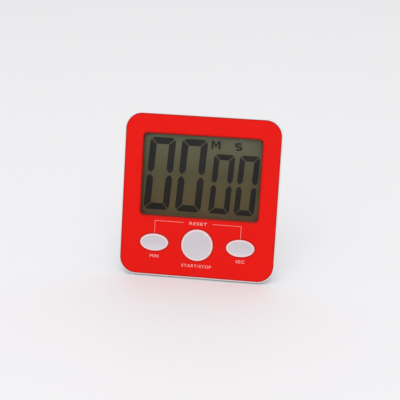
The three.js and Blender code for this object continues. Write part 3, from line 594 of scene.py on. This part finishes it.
# %% A flat sheet with openings
def sheet(name, boundaries, material):
    """A flat sheet: one outer outline, then its openings, each as (outline, normals, profile).

    Returned with it is how far each point lies from its own outline, one array for each."""
    rings, fronts, backs, walls, offsets, count = [], [], [], [], [], 0
    for index, (outline, normals, profile) in enumerate(boundaries):
        flat, depth = inset_rings(outline, normals, profile)
        rings.append(at_depths(flat, depth).reshape(-1, 3))
        steps, around = flat.shape[:2]
        strip = np.array(ring_faces(steps, around, count))
        walls += (strip if index == 0 else strip[:, ::-1]).tolist()
        fronts.append(count + np.arange(around))
        backs.append(count + (steps - 1) * around + np.arange(around))
        offsets.append(np.repeat(np.abs(np.array(profile)[:, 0]), around))
        count += steps * around
    points = np.concatenate(rings)
    front = filled([points[row][:, [0, 2]] for row in fronts], np.concatenate(fronts), -1)
    back = filled([points[row][:, [0, 2]] for row in backs], np.concatenate(backs), 1)
    faces = walls + front.tolist() + back.tolist()
    piece = make_piece(name, points, faces, material)
    piece.data.polygons.foreach_set("use_smooth", np.arange(len(faces)) < len(walls))
    return piece, offsets


print("the plate's node is", np.round(2 * plate_half, 2), "mm")

# %% Openings for the buttons
FLANGE = 0.9
HOLE_GAP = 0.15
BUTTONS = ("start_stop_button", "minute_button", "second_button")


def opening_of(button):
    """The ellipse of a button's hole: its flange's box less the flange, plus the gap round the cap."""
    middle, size = across_face(button)
    half_size = size / 2 - FLANGE + HOLE_GAP
    outline, normals = ellipse(*half_size)
    print("hole of the", button, "in mm:", np.round(2 * half_size, 2))
    return outline + middle, normals


button_openings = [opening_of(button) for button in BUTTONS]

# %% Plate
SNUG = 0.05
WINDOW_MARGIN = 2.5
WINDOW_RADIUS = 2.0
WINDOW_ROUND = 0.7
# Painted shade: the bands over which the red darkens at the window and at the other edges, in mm, and how
# dark the other edges get.
WINDOW_SHADE_BAND = 1.25
SHADE_BAND = 0.8
SHADE = 0.45

window_middle, window_size = across_face("display_window")
window_outline, window_normals = round_rectangle(*(window_size - 2 * WINDOW_MARGIN), WINDOW_RADIUS)
rim_profile = [(-WINDOW_SHADE_BAND, 0)] + edge_profile(WINDOW_ROUND, -1)
outer_profile = [(SHADE_BAND, 0)] + edge_profile(PLATE_EDGE)
hole_profile = [(-SHADE_BAND, 0)] + edge_profile(PLATE_EDGE, -1)
boundaries = [
    (*round_rectangle(*(2 * (plate_half + SNUG)), PLATE_RADIUS + SNUG, per_corner=24), outer_profile),
    (window_outline + window_middle, window_normals, rim_profile),
    *((*opening, hole_profile) for opening in button_openings),
]
plate, offsets = sheet("red_face_plate", boundaries, red_plate)
# Each point's share of painted shade: full at the window's edge and SHADE at the other edges, fading to
# none across the bands.
painted_shade_values = [SHADE * (1 - offset / SHADE_BAND) for offset in offsets]
painted_shade_values[1] = 1 - offsets[1] / WINDOW_SHADE_BAND
set_painted_light_share(plate, np.concatenate(painted_shade_values))
stand_for(plate, "face_plate")

# %% [markdown]
# ## Push buttons
#
# Each button is a pale cap with a shallow dish for the fingertip and a rounded shoulder. From the
# shoulder on its colour is lighter and pinker, a painted highlight ring that stands for the light its
# edge catches and the red around it. It could be cut from a flattened sphere, but then its shoulder
# would not be equally round all the way. So the cap is one profile carried round an ellipse, and the
# dish inside it is the same ellipse made smaller ring by ring. Each point keeps a value, 0 in the dish
# and 1 from the shoulder on, which the finish reads as the share of painted highlight.

# %% Parts joined and moved
def gathered(parts):
    """Several sets of points and faces as one, each set's corner numbers raised past the last."""
    points, faces, start = [], [], 0
    for some_points, some_faces in parts:
        points.append(some_points)
        faces += [tuple(i + start for i in face) for face in some_faces]
        start += len(some_points)
    return np.concatenate(points), faces


def shifted(part, x, z):
    """The same points moved across the face."""
    points, faces = part
    return points + np.array([x, 0, z], float), faces


print("two discs joined:", len(gathered([unit_disc, shifted(unit_disc, 3, 0)])[0]), "points")

# %% Buttons
SHOULDER = 0.5
FLANGE_THICKNESS = 1.0
STEM_RADIUS = 2.2
STEM_LENGTH = 0.6
STEM_OVERLAP = 0.1
RING_WIDTH = 0.6
DISH_DEPTH = 0.75
DISH_RINGS = 10
DISH_SHARES = (0.04, 0.94)

pale_button = finish("pale_button", (0.615, 0.585, 0.625), 0.4, drift=0.015, patch=0.01)
# The painted highlight: the pale pink that the shoulder goes over to.
painted_light_tinted(pale_button, (0.9, 0.68, 0.69))


def push_button(name):
    """Rings from the dished top over the shoulder to the flange, then a stem.

    The dish is the rim's first ring shrunk by a share s, sunk by the depth times 1 - s squared. The
    rings outside it are the cap's ellipse moved inwards, at the depths of the shoulder and flange."""
    middle, size = across_face(name)
    front, back = (corner[1] for corner in face_box(name))
    flange_front, flange_back = back - STEM_LENGTH - FLANGE_THICKNESS, back - STEM_LENGTH
    profile = [(RING_WIDTH, front)] + quarter_round(SHOULDER, SHOULDER, front + SHOULDER, 90, 0)
    profile += [(0, flange_front), (-FLANGE, flange_front), (-FLANGE, flange_back)]
    rim, rim_depth = inset_rings(*ellipse(*(size / 2 - FLANGE)), profile)
    share = np.linspace(*DISH_SHARES, DISH_RINGS)
    dish = share[:, None, None] * rim[:1]
    depth = np.concatenate([front + DISH_DEPTH * (1 - share ** 2), rim_depth])
    cap = stacked(np.concatenate([dish, rim]), depth)
    stem_profile = [(0, flange_back - STEM_OVERLAP), (0, back)]
    stem = loft(*ellipse(STEM_RADIUS, STEM_RADIUS, count=32), stem_profile)
    piece = make_piece(name + "_cap", *shifted(gathered([cap, stem]), *middle), pale_button)
    # The painted highlight's share: 1 from the dish's rim over the shoulder and flange, 0 in the dish and
    # on the stem.
    edge = np.zeros(len(piece.data.vertices))
    edge[DISH_RINGS * rim.shape[1]:len(cap[0])] = 1
    set_painted_light_share(piece, edge)
    return stand_for(piece, name)


for button in BUTTONS:
    push_button(button)

# %% [markdown]
# ## The display
#
# A liquid-crystal display is a grey-olive mirror behind two glasses. Its figures are thin dark films, so
# each segment is a very thin prism just in front of the glass. The olive is lighter and greener towards
# the top and browner further down. Along its foot it is lighter again, a painted light that offsets the
# shade the window's rim casts there. Those bands are set over the object's own height. The window in
# front is clear plastic, mixed from a see-through and a glossy shader, so that the lamps reach the
# display behind it.

# %% Display finishes
BAND_PATCH = 0.01
# The first band is a lighter painted light along the foot, offsetting the shade of the window's rim; the
# others go from brown low down to lighter green at the top.
OLIVE_AND_FOOT_LIGHT_BANDS = [
    (0.06, (0.17, 0.105, 0.052)), (0.13, (0.108, 0.068, 0.03)), (0.22, (0.114, 0.079, 0.027)),
    (0.55, (0.103, 0.081, 0.037)), (0.95, (0.15, 0.15, 0.092)),
]
DARK_BANDS = [(0.1, (0.008, 0.003, 0.001)), (0.9, (0.018, 0.015, 0.017))]


def banded(material, low, high, bands, drift, axis="Z"):
    """The colour goes through (share, colour) bands from low to high along an axis, and drifts."""
    tree = material.node_tree
    coordinates = add_node(tree, "TexCoord").outputs["Object"]
    along = add_node(tree, "SeparateXYZ", {"Vector": coordinates}).outputs[axis]
    colours = add_node(tree, "ValToRGB", {"Fac": ranged(tree, along, low, high)})
    while len(colours.color_ramp.elements) < len(bands):
        colours.color_ramp.elements.new(0.5)
    for element, (share, colour) in zip(colours.color_ramp.elements, bands):
        element.position = share
        element.color = (*colour, 1)
    drifting = add_node(tree, "HueSaturation", {
        "Color": colours.outputs["Color"],
        "Value": spread(tree, BAND_PATCH, 2.0, 1 - drift, 1 + drift),
    })
    feed(tree, tree.nodes["Principled BSDF"], {"Base Color": drifting.outputs["Color"]})


panel_low, panel_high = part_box("display_panel")
display_olive = finish("display_olive", OLIVE_AND_FOOT_LIGHT_BANDS[3][1], 0.36, relief=0.0000004)
banded(display_olive, panel_low.z, panel_high.z, OLIVE_AND_FOOT_LIGHT_BANDS, drift=0.03)
display_dark = finish("display_dark", DARK_BANDS[0][1], 0.36, relief=0.0000004)
banded(display_dark, panel_low.z, panel_high.z, DARK_BANDS, drift=0.15)
print("display finishes over", np.round([1000 * panel_low.z, 1000 * panel_high.z], 1), "mm of height")

# %% A see-through finish
LENS_TINT = (0.96, 0.97, 0.96)
LENS_POLISH = 0.06
LENS_IOR = 1.35


def mixed_shaders(tree, share, first, second):
    """The first shader where the share is 0, the second where it is 1."""
    return add_node(tree, "MixShader", {"Fac": share, 1: first, 2: second}).outputs["Shader"]


def see_through(name):
    """A see-through shader, and a gloss by Fresnel's share on the faces that are seen from outside."""
    material = bpy.data.materials.new(name)
    material.use_nodes = True
    tree = material.node_tree
    tree.nodes.remove(tree.nodes["Principled BSDF"])
    through = add_node(tree, "BsdfTransparent", {"Color": LENS_TINT})
    gloss = add_node(tree, "BsdfGlossy", {"Roughness": LENS_POLISH})
    mirrored = add_node(tree, "Fresnel", {"IOR": LENS_IOR}).outputs["Fac"]
    behind = add_node(tree, "NewGeometry").outputs["Backfacing"]
    share = add_node(tree, "Math", {0: mirrored, 1: behind}, operation="SUBTRACT", use_clamp=True)
    surface = mixed_shaders(tree, share.outputs["Value"], through.outputs["BSDF"], gloss.outputs["BSDF"])
    feed(tree, tree.nodes["Material Output"], {"Surface": surface})
    return material


lens_clear = see_through("lens_clear")
print("window finish:", lens_clear.name, "with", len(lens_clear.node_tree.nodes), "nodes")

# %% Window
LENS_EDGE = 0.12
LENS_RADIUS = 2.0


def chamfered(outline, normals, front, back, edge):
    """The outline over a chamfer as wide as it is deep, down a straight side and over another."""
    return loft(outline, normals, [(edge, front), (0, front + edge), (0, back - edge), (edge, back)])


lens_front, lens_back = (corner[1] for corner in face_box("display_window"))
lens_solid = chamfered(*round_rectangle(*window_size, LENS_RADIUS), lens_front, lens_back, LENS_EDGE)
lens = make_piece("display_lens", *shifted(lens_solid, *window_middle), lens_clear)
stand_for(lens, "display_window")

# %% [markdown]
# ## Figures made of six bars
#
# A zero on such a display is six bars with mitred corners: one across the top, one across the bottom
# and two on each side, with a gap half-way up. Each bar is a flat outline worked out from the figure's
# width, height and stroke, leaned over by a shear and then given a very small thickness. A painted
# texture would do from far away, but real bars keep their sharp ends up close. The small M is one
# such outline too, and the small S is a line given a width.

# %% Thin films in front of the glass
FILM = 0.04
FILM_LIFT = 0.06
FIGURE_FRONT = face_box("display_panel")[0][1] - FILM_LIFT


def prism(outline, front, back):
    """A flat outline of (x, z) points as a solid between two depths.

    Twice the outline's area is the sum of x times the next z less z times the next x. Where it is
    negative the outline runs clockwise, and it is turned round, so that all bars face the same way."""
    outline = np.asarray(outline, float)
    x, z = outline.T
    if np.sum(x * np.roll(z, -1) - z * np.roll(x, -1)) < 0:
        outline = outline[::-1]
    return stacked(np.stack([outline, outline]), [front, back])


print("films from", round(FIGURE_FRONT, 2), "to", round(FIGURE_FRONT + FILM, 2), "mm behind the face")

# %% The six bars of a zero
MITRE_GAP = 0.42
WAIST_GAP = 1.5
WAIST_TIP = [(0, 0.45), (0.3, 0), (0.62, 0), (1, 0.5)]


def corner_arc(radius, start, end, steps=6):
    """Points round the quarter circle at a box's upper left corner, angles from its middle."""
    angle = np.radians(np.linspace(start, end, steps + 1))
    return np.stack([radius + radius * np.cos(angle), -radius + radius * np.sin(angle)], 1)


def zero_bars(width, height, stroke, radius):
    """The outlines of a zero's six bars, from the lower left corner.

    The upper left bar and the top bar meet at the corner's 45 degree line, half a gap from it each.
    The bar's lower tip is WAIST_TIP times the stroke, above half the waist's gap. The others are
    their mirror images about the figure's middle lines."""
    slip = math.degrees(math.asin(MITRE_GAP / 2 / radius))
    offset = MITRE_GAP / math.sqrt(2)
    corner = np.array([0, height])
    side = np.concatenate([
        corner_arc(radius, 135 + slip, 180) + corner,
        np.array(WAIST_TIP) * stroke + [0, height / 2 + WAIST_GAP / 2],
        [[stroke, height - stroke - offset]],
    ])
    left_end = np.concatenate([
        [[stroke + offset, height - stroke]],
        corner_arc(radius, 135 - slip, 90) + corner,
    ])
    top = np.concatenate([left_end, left_end[::-1] * [-1, 1] + [width, 0]])
    upper = [side, side * [-1, 1] + [width, 0], top]
    return upper + [bar * [1, -1] + [0, height] for bar in upper]


print("points of each bar:", [len(outline) for outline in zero_bars(13.5, 37.9, 3.5, 2.9)])

# %% Display figures
FIGURE_SLANT = math.tan(math.radians(3.2))
FIGURES = [
    ("minutes_tens_figure", -29.7, -8.1, 13.45, 37.8, 3.5, 2.9),
    ("minutes_units_figure", -13.15, -8.2, 13.5, 37.9, 3.5, 2.9),
    ("seconds_tens_figure", 4.3, -8.1, 10.9, 30.9, 2.9, 2.3),
    ("seconds_units_figure", 17.55, -8.2, 10.5, 31.1, 2.9, 2.3),
]


def figure(name, left, bottom, width, height, stroke, radius):
    """A leaned zero: each bar's x grows by its height times the slant's tangent."""
    parts = []
    for bar in zero_bars(width, height, stroke, radius):
        leaned = bar + np.stack([bar[:, 1] * FIGURE_SLANT, np.zeros(len(bar))], 1)
        parts.append(prism(leaned + [left, bottom], FIGURE_FRONT, FIGURE_FRONT + FILM))
    piece = make_piece(name, *gathered(parts), display_dark)
    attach(piece, "case")


for row in FIGURES:
    figure(*row)

# %% The letters M and S above them
MARK_HEIGHT = 4.2
M_AT = (6.53, 25.3)
S_AT = (18.3, 27.15)


def ribbon(path, width):
    """An open line of points given a width: half of it to each side along the line's normals."""
    path = np.asarray(path, float)
    along = np.gradient(path, axis=0)
    along /= np.linalg.norm(along, axis=1, keepdims=True)
    across = np.stack([-along[:, 1], along[:, 0]], 1) * width / 2
    sides = np.stack([path + across, path - across], 1)
    depths = np.array([FIGURE_FRONT, FIGURE_FRONT + FILM])
    flat = np.stack([sides[:, [0, 1, 1, 0], 0], np.broadcast_to(depths[[0, 0, 1, 1]], (len(path), 4)),
                     sides[:, [0, 1, 1, 0], 1]], -1)
    faces = ring_faces(len(path), 4) + end_faces(len(path), 4)
    return flat.reshape(-1, 3), faces


def letter_s(width, height, stroke, steps=14):
    """The middle line of an S: an upper arc, left side out, and its half turn for the lower one."""
    half_width, half_height = (width - stroke) / 2, (height - stroke) / 4
    angle = np.radians(np.linspace(35, 270, steps))
    upper = np.stack([half_width * np.cos(angle), half_height * (1 + np.sin(angle))], 1)
    return np.concatenate([upper, -upper[-2::-1]])


def letter_m(width, height, stroke):
    """An M's outline: two stems as wide as the stroke, and a V between them with its notch on top."""
    half = width / 2
    right = np.array([
        [half, 0], [half, height], [half - 1.25 * stroke, height], [0, 0.52 * height],
    ])
    inner = np.array([
        [half - stroke, 0], [half - stroke, 0.7 * height], [0, 0.16 * height],
    ])
    left = right[-2::-1] * [-1, 1]
    return np.concatenate([right, left, inner[:-1] * [-1, 1], inner[::-1]])


mark_m = prism(letter_m(4.7, MARK_HEIGHT, 1.05) + np.array(M_AT), FIGURE_FRONT, FIGURE_FRONT + FILM)
mark_s = shifted(ribbon(letter_s(3.9, MARK_HEIGHT, 1.0), 1.0), *S_AT)
for name, mark in (("minutes_mark", mark_m), ("seconds_mark", mark_s)):
    piece = make_piece(name, *mark, display_dark)
    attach(piece, "case")

# %% [markdown]
# ## Printed words and lines
#
# The words are set in Blender's own plain font, because they only have to be read. A text object is
# turned into a mesh first, its points are fitted to the width and height the word has on the plate,
# and only then is it moved to the face. Lines are thin bars of the same ink.

# %% A word as a solid
LETTER_STEPS = 4
LETTER_SPACE = 1.12
LETTER_MERGE = 2e-3
LETTER_DEPTH = 0.1


def solid_text(text):
    """The points and faces of a word set in the plain font and given a thickness."""
    curve = bpy.data.curves.new("word", "FONT")
    curve.body = text
    curve.resolution_u = LETTER_STEPS
    curve.space_character = LETTER_SPACE
    holder = bpy.data.objects.new("word", curve)
    bpy.context.scene.collection.objects.link(holder)
    bpy.context.view_layer.update()
    flat = bpy.data.meshes.new_from_object(holder.evaluated_get(bpy.context.evaluated_depsgraph_get()))
    bpy.data.objects.remove(holder)
    bpy.data.curves.remove(curve)
    work = bmesh.new()
    work.from_mesh(flat)
    bmesh.ops.remove_doubles(work, verts=work.verts, dist=LETTER_MERGE)
    bmesh.ops.solidify(work, geom=work.faces[:], thickness=LETTER_DEPTH)
    work.to_mesh(flat)
    work.free()
    points = np.zeros(3 * len(flat.vertices), np.float32)
    flat.vertices.foreach_get("co", points)
    faces = [tuple(face.vertices) for face in flat.polygons]
    bpy.data.meshes.remove(flat)
    return points.reshape(-1, 3).astype(float), faces


print("the word MIN as a solid has", len(solid_text("MIN")[1]), "faces")

# %% Printed words
INK = 0.02
INK_SUNK = 0.01
WORDS = [
    ("reset_word", "RESET", -4.55, 4.6, -14.5, -12.95),
    ("minute_word", "MIN", -24.4, -20.0, -32.9, -31.3),
    ("second_word", "SEC", 20.5, 25.1, -32.65, -31.05),
    ("start_stop_word", "START/STOP", -7.6, 8.0, -36.7, -35.15),
]


def printed_word(name, text, left, right, bottom, top):
    """A word whose box is stretched to the given one: each point keeps its share of the way across."""
    points, faces = solid_text(text)
    low, high = points.min(0), points.max(0)
    share = (points - low) / (high - low)
    placed = np.stack([
        left + share[:, 0] * (right - left),
        (1 - share[:, 2]) * (INK + INK_SUNK) - INK,
        bottom + share[:, 1] * (top - bottom),
    ], 1)
    return make_piece(name, placed, faces, white_ink)


for row in WORDS:
    word = printed_word(*row)
    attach(word, "case")

# %% Printed lines
LINE = 0.15
LINE_LEVEL = -13.45
LINE_FOOT = -20.0
LINE_ENDS = ((-22.6, -7.7), (22.3, 7.5))


def bar(left, right, bottom, top):
    """A printed bar lying on the plate, from its four corners."""
    corners = [[left, bottom], [right, bottom], [right, top], [left, top]]
    return prism(corners, -INK, INK_SUNK)


lines = []
for outer, inner in LINE_ENDS:
    left, right = sorted((outer, inner))
    lines.append(bar(left, right, LINE_LEVEL - LINE / 2, LINE_LEVEL + LINE / 2))
    lines.append(bar(outer - LINE / 2, outer + LINE / 2, LINE_FOOT, LINE_LEVEL - LINE / 2))
reset_lines = make_piece("reset_lines", *gathered(lines), white_ink)
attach(reset_lines, "case")

# %% [markdown]
# ## The battery and its spring
#
# Behind the battery door lies an AAA cell. Its steel can is turned about the cell's own axis, which
# lies across the timer. The jacket is a thin sleeve that folds over both ends and has a broad band at
# the plus end, and the plus and minus marks are small bars bent round it. The spring's wire is a small
# circle carried along a helix that narrows towards the cell. A Screw modifier could turn the can and
# wind the spring, but one formula of x, radius and turn about the axis serves them all.

# %% Shapes about the cell's axis
cell_low, cell_high = face_box("battery_cell")
AXIS_AT = (cell_low + cell_high)[1:] / 2


def about_axis(x, radius, t):
    """Points (x, depth + r cos t, height + r sin t), with the axis's own depth and height."""
    return np.stack([x + 0 * t, AXIS_AT[0] + radius * np.cos(t), AXIS_AT[1] + radius * np.sin(t)], -1)


def turned(profile, closed=False):
    """A profile of (x, r) pairs turned about the axis; a closed one joins its last ring to its first."""
    x, radius = np.array(profile, float).T[:, :, None]
    points = about_axis(x, radius, np.linspace(0, 2 * np.pi, 64, endpoint=False))
    rings, count = points.shape[:2]
    if closed:
        faces = (np.array(ring_faces(rings + 1, count)) % (rings * count)).tolist()
    else:
        faces = ring_faces(rings, count) + end_faces(rings, count)
    return points.reshape(-1, 3), faces


def eased(corners, edge, steps=5):
    """A path whose inner corners are drawn as (1-s)^2 near + 2s(1-s) corner + s^2 far."""
    corners = np.array(corners, float)
    before, here, after = corners[:-2], corners[1:-1], corners[2:]
    near = here + edge * (before - here) / np.linalg.norm(before - here, axis=1, keepdims=True)
    far = here + edge * (after - here) / np.linalg.norm(after - here, axis=1, keepdims=True)
    s = np.linspace(0, 1, steps)[None, :, None]
    curves = (1 - s) ** 2 * near[:, None] + 2 * s * (1 - s) * here[:, None] + s ** 2 * far[:, None]
    return np.concatenate([corners[:1], curves.reshape(-1, 2), corners[-1:]])


print("the cell's axis lies", np.round(AXIS_AT, 2), "mm behind and above the face's middle")

# %% Battery cell
SLEEVE_RADIUS = 5.2
CAN_RADIUS = 4.9
FOLD_RADIUS = 4.3
FOLD_DEPTH = 1
NUB_RADIUS = 1.9
NUB_LENGTH = 0.8
END_RADIUS = 0.4
CAN_INSIDE = 0.06
CELL_EDGE = 0.3
JACKET_DARK, JACKET_BAND = (0.03, 0.035, 0.045), (0.5, 0.2, 0.06)
JACKET_BANDS = [(0.0, JACKET_DARK), (0.72, JACKET_DARK), (0.725, JACKET_BAND), (1.0, JACKET_BAND)]

foot, tip = cell_low[0], cell_high[0]
shoulder = tip - NUB_LENGTH
can = eased([
    (foot + CAN_INSIDE, END_RADIUS), (foot + CAN_INSIDE, CAN_RADIUS), (shoulder - CAN_INSIDE, CAN_RADIUS),
    (shoulder - CAN_INSIDE, NUB_RADIUS), (tip, NUB_RADIUS), (tip, END_RADIUS),
], CELL_EDGE)
stand_for(make_piece("cell_can", *turned(can), steel), "battery_cell")
sleeve = eased([
    (foot + FOLD_DEPTH, FOLD_RADIUS), (foot, FOLD_RADIUS), (foot, SLEEVE_RADIUS),
    (shoulder, SLEEVE_RADIUS), (shoulder, FOLD_RADIUS), (shoulder - FOLD_DEPTH, FOLD_RADIUS),
], CELL_EDGE)
banded(cell_jacket, foot * MM, tip * MM, JACKET_BANDS, drift=0.1, axis="X")
stand_for(make_piece("cell_sleeve", *turned(sleeve, closed=True), cell_jacket), "battery_cell")

# %% Plus and minus marks
MARK_TURN = 0.3
MARK_REACH = 1.1
MARK_STROKE = 0.25
MARK_FROM_END = 4
MARK_PROUD = 0.02
MARK_THICKNESS = 0.06
MARK_STEPS = 9


def wrapped_bar(middle, reach, from_turn, to_turn):
    """A printed bar on the cell: a small four-cornered ring carried round part of a turn."""
    t = MARK_TURN + np.linspace(from_turn, to_turn, MARK_STEPS)[:, None]
    x = middle + reach * np.array([-1, 1, 1, -1])
    radius = SLEEVE_RADIUS + MARK_PROUD + MARK_THICKNESS * np.array([-1, -1, 0, 0])
    points = about_axis(x, radius, t)
    return points.reshape(-1, 3), ring_faces(MARK_STEPS, 4) + end_faces(MARK_STEPS, 4)


wide, slim = MARK_REACH / SLEEVE_RADIUS, MARK_STROKE / SLEEVE_RADIUS
plus_at, minus_at = shoulder - MARK_FROM_END, foot + MARK_FROM_END
marks = [
    wrapped_bar(plus_at, MARK_REACH, -slim, slim),
    wrapped_bar(plus_at, MARK_STROKE, slim, wide),
    wrapped_bar(plus_at, MARK_STROKE, -wide, -slim),
    wrapped_bar(minus_at, MARK_REACH, -slim, slim),
]
cell_marks = make_piece("cell_marks", *gathered(marks), pale_mark)
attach(cell_marks, BODY_OF["battery_cell"])

# %% Spring
SHEET = 0.4
TAB_LENGTH = 4.45
SPRING_WIRE = 0.35
SPRING_WIDE = 3.4
SPRING_NARROW = 2.2
SPRING_TURNS = 3
SPRING_STEPS = 145
spring_low, spring_high = face_box("battery_spring")
plate_back = spring_low[0] + TAB_LENGTH - SHEET


def helix(start, end):
    """Points about the axis whose x, radius and turn all grow evenly with s from 0 to 1."""
    s = np.linspace(0, 1, SPRING_STEPS)
    radius = SPRING_WIDE + (SPRING_NARROW - SPRING_WIDE) * s
    return about_axis(start + (end - start) * s, radius, 2 * np.pi * SPRING_TURNS * s)


def wire_along(path, radius, count=10):
    """A circle of the given radius about each point of a path, square to the path's direction.

    Its plane is spanned by the cell's axis with its share along the path taken off, and by the
    cross product of the two."""
    ahead = np.gradient(path, axis=0)
    ahead /= np.linalg.norm(ahead, axis=1, keepdims=True)
    first = np.array([1.0, 0, 0]) - ahead[:, :1] * ahead
    first /= np.linalg.norm(first, axis=1, keepdims=True)
    second = np.cross(ahead, first)
    t = np.linspace(0, 2 * np.pi, count, endpoint=False)[None, :, None]
    rings = path[:, None] + radius * (np.cos(t) * first[:, None] + np.sin(t) * second[:, None])
    return rings.reshape(-1, 3), ring_faces(len(path), count) + end_faces(len(path), count)


spring_path = helix(plate_back + SHEET + SPRING_WIRE, spring_high[0] - SPRING_WIRE)
stand_for(make_piece("spring_coil", *wire_along(spring_path, SPRING_WIRE), steel), "battery_spring")

# %% Contacts
TAB_WIDTH = 3.0
TAB_RISE = 0.8
SHEET_EDGE = 0.06
SHEET_RADIUS = 0.4


def contact_sheet(name, width, height, middle, front, lying):
    """A small chamfered sheet; a lying one faces the front, and the other has its x and y exchanged."""
    outline, normals = round_rectangle(width, height, SHEET_RADIUS)
    points, faces = shifted(chamfered(outline, normals, front, front + SHEET, SHEET_EDGE), *middle)
    return make_piece(name, points if lying else points[:, [1, 0, 2]], faces, steel)


spring_size = spring_high - spring_low
plate_sheet = contact_sheet("spring_plate", *spring_size[1:], AXIS_AT, plate_back, False)
stand_for(plate_sheet, "battery_spring")
tab_middle = (spring_low[0] + TAB_LENGTH / 2, AXIS_AT[1])
tab_sheet = contact_sheet("spring_tab", TAB_LENGTH, TAB_WIDTH, tab_middle, spring_low[1] + TAB_RISE, True)
stand_for(tab_sheet, "battery_spring")
softened("positive_contact", "plus_contact", 0.06, steel, segments=2)

# %% [markdown]
# ## Magnets, screws and what is inside
#
# The two magnets are plain plated discs with a broken edge, lofted like the buttons. Screws keep their
# shape and only get soft edges. The pieces inside the case are seen through the sounder's holes and
# the open battery door, so each of them gets the finish of its own material as well.

# %% Magnets and screws
DISC_EDGE = 0.2


def plated_disc(node, name):
    """A circle's rings: a small chamfer in front, a straight side and a small chamfer behind."""
    middle, size = across_face(node)
    radius = size[0] / 2
    front, back = (corner[1] for corner in face_box(node))
    disc = shifted(chamfered(*ellipse(radius, radius, count=64), front, back, DISC_EDGE), *middle)
    return stand_for(make_piece(name, *disc, steel), node)


plated_disc("magnet_left", "left_magnet")
plated_disc("magnet_right", "right_magnet")
for number in range(1, 5):
    softened(f"case_screw_{number}", f"case_screw_{number}_steel", 0.08, steel, segments=2)

# %% Finishes of the nodes that stay as they are
SLOT_FINISH = {
    "display_glass": display_olive,
    "foam": foam,
    "connector_rubber": connector_rubber,
    "black_plastic": black_plastic,
    "green_board": green_board,
    "steel": steel,
    "brass": brass,
    "ceramic": ceramic,
    "copper": copper,
    "cell_jacket": cell_jacket,
    "red_wire": red_wire,
    "black_wire": black_wire,
}
kept = [name for name, node in nodes.items() if not node.hide_render]
for name in kept:
    nodes[name].data.materials.clear()
    nodes[name].data.materials.append(SLOT_FINISH[SLOT_OF[name]])
print("nodes shown as they are:", len(kept))

# %% [markdown]
# ## Floor and light
#
# The timer stands on a pale, nearly matt table, and the floor's colour makes the background. Two large
# lamps and an even light from all sides leave only a soft shadow. The world does three jobs by the
# kind of ray: it lights the timer with plain white, it shows its pale colour where a view goes past
# the floor, and to a reflection it shows that colour too, but a dark room straight in front of the
# face. So the display's window mirrors little and the figures stay clear. A sky texture could light
# the timer too, but plain white light keeps each colour as it is written.

# %% Floor
FLOOR_HALF = 6.0
floor_finish = finish("floor", (0.822, 0.814, 0.83), 0.36, grain=0.002, relief=0.0, drift=0.004,
                      patch=0.5, shine=0.03)
floor_corners = [(FLOOR_HALF * x, FLOOR_HALF * y, 0) for x, y in ((-1, -1), (1, -1), (1, 1), (-1, 1))]
floor_mesh = bpy.data.meshes.new("floor")
floor_mesh.from_pydata(floor_corners, [], [(0, 1, 2, 3)])
floor_mesh.materials.append(floor_finish)
floor = bpy.data.objects.new("floor", floor_mesh)
bpy.context.scene.collection.objects.link(floor)
print("floor:", 2 * FLOOR_HALF, "m on each side")

# %% World
BACKGROUND = (0.875, 0.865, 0.88)
DARK_ROOM = (0.06, 0.06, 0.062)
ROOM_AHEAD = (-0.98, -0.5)
AMBIENT = 0.84


def studio_world():
    """One colour for each kind of ray; the dark room fades out as a direction turns off the front."""
    world = bpy.data.worlds.new("studio")
    world.use_nodes = True
    tree = world.node_tree
    tree.nodes.clear()
    rays = add_node(tree, "LightPath").outputs
    direction = add_node(tree, "TexCoord").outputs["Generated"]
    back = add_node(tree, "SeparateXYZ", {"Vector": direction}).outputs["Y"]
    off_front = ranged(tree, back, *ROOM_AHEAD, interpolation_type="SMOOTHSTEP")
    seen = add_node(tree, "Background", {"Color": BACKGROUND})
    mirrored = add_node(tree, "Background", {"Color": blended(tree, off_front, DARK_ROOM, BACKGROUND)})
    light = add_node(tree, "Background", {"Color": (1, 1, 1), "Strength": AMBIENT})
    straight = add_node(tree, "Math", {0: rays["Is Camera Ray"], 1: rays["Is Transmission Ray"]},
                        operation="MAXIMUM")
    plain = mixed_shaders(tree, straight.outputs["Value"], light.outputs[0], seen.outputs[0])
    surface = mixed_shaders(tree, rays["Is Glossy Ray"], plain, mirrored.outputs[0])
    add_node(tree, "OutputWorld", {"Surface": surface})
    return world


bpy.context.scene.world = studio_world()
print("ambient light", AMBIENT)

# %% Lamps
def soft_lamp(name, place, aim, size, power):
    """A square area lamp at a place, turned to an aim, its power in watts."""
    data = bpy.data.lights.new(name, "AREA")
    data.size = size
    data.energy = power
    lamp = bpy.data.objects.new(name, data)
    offset = np.array(aim, float) - np.array(place, float)
    lamp.location = place
    away = math.atan2(math.hypot(offset[0], offset[1]), -offset[2])
    lamp.rotation_euler = (away, 0, math.atan2(offset[1], offset[0]) - math.pi / 2)
    bpy.context.scene.collection.objects.link(lamp)
    print(name, place, power, "W")


soft_lamp("key_lamp", (-0.02, -0.9, 1.0), (0, 0, 0.04), 1.1, 4.8)
soft_lamp("back_lamp", (0.1, 0.6, 1.3), (0, 0.1, 0), 1.5, 2.5)
bpy.context.scene.view_settings.view_transform = "Standard"
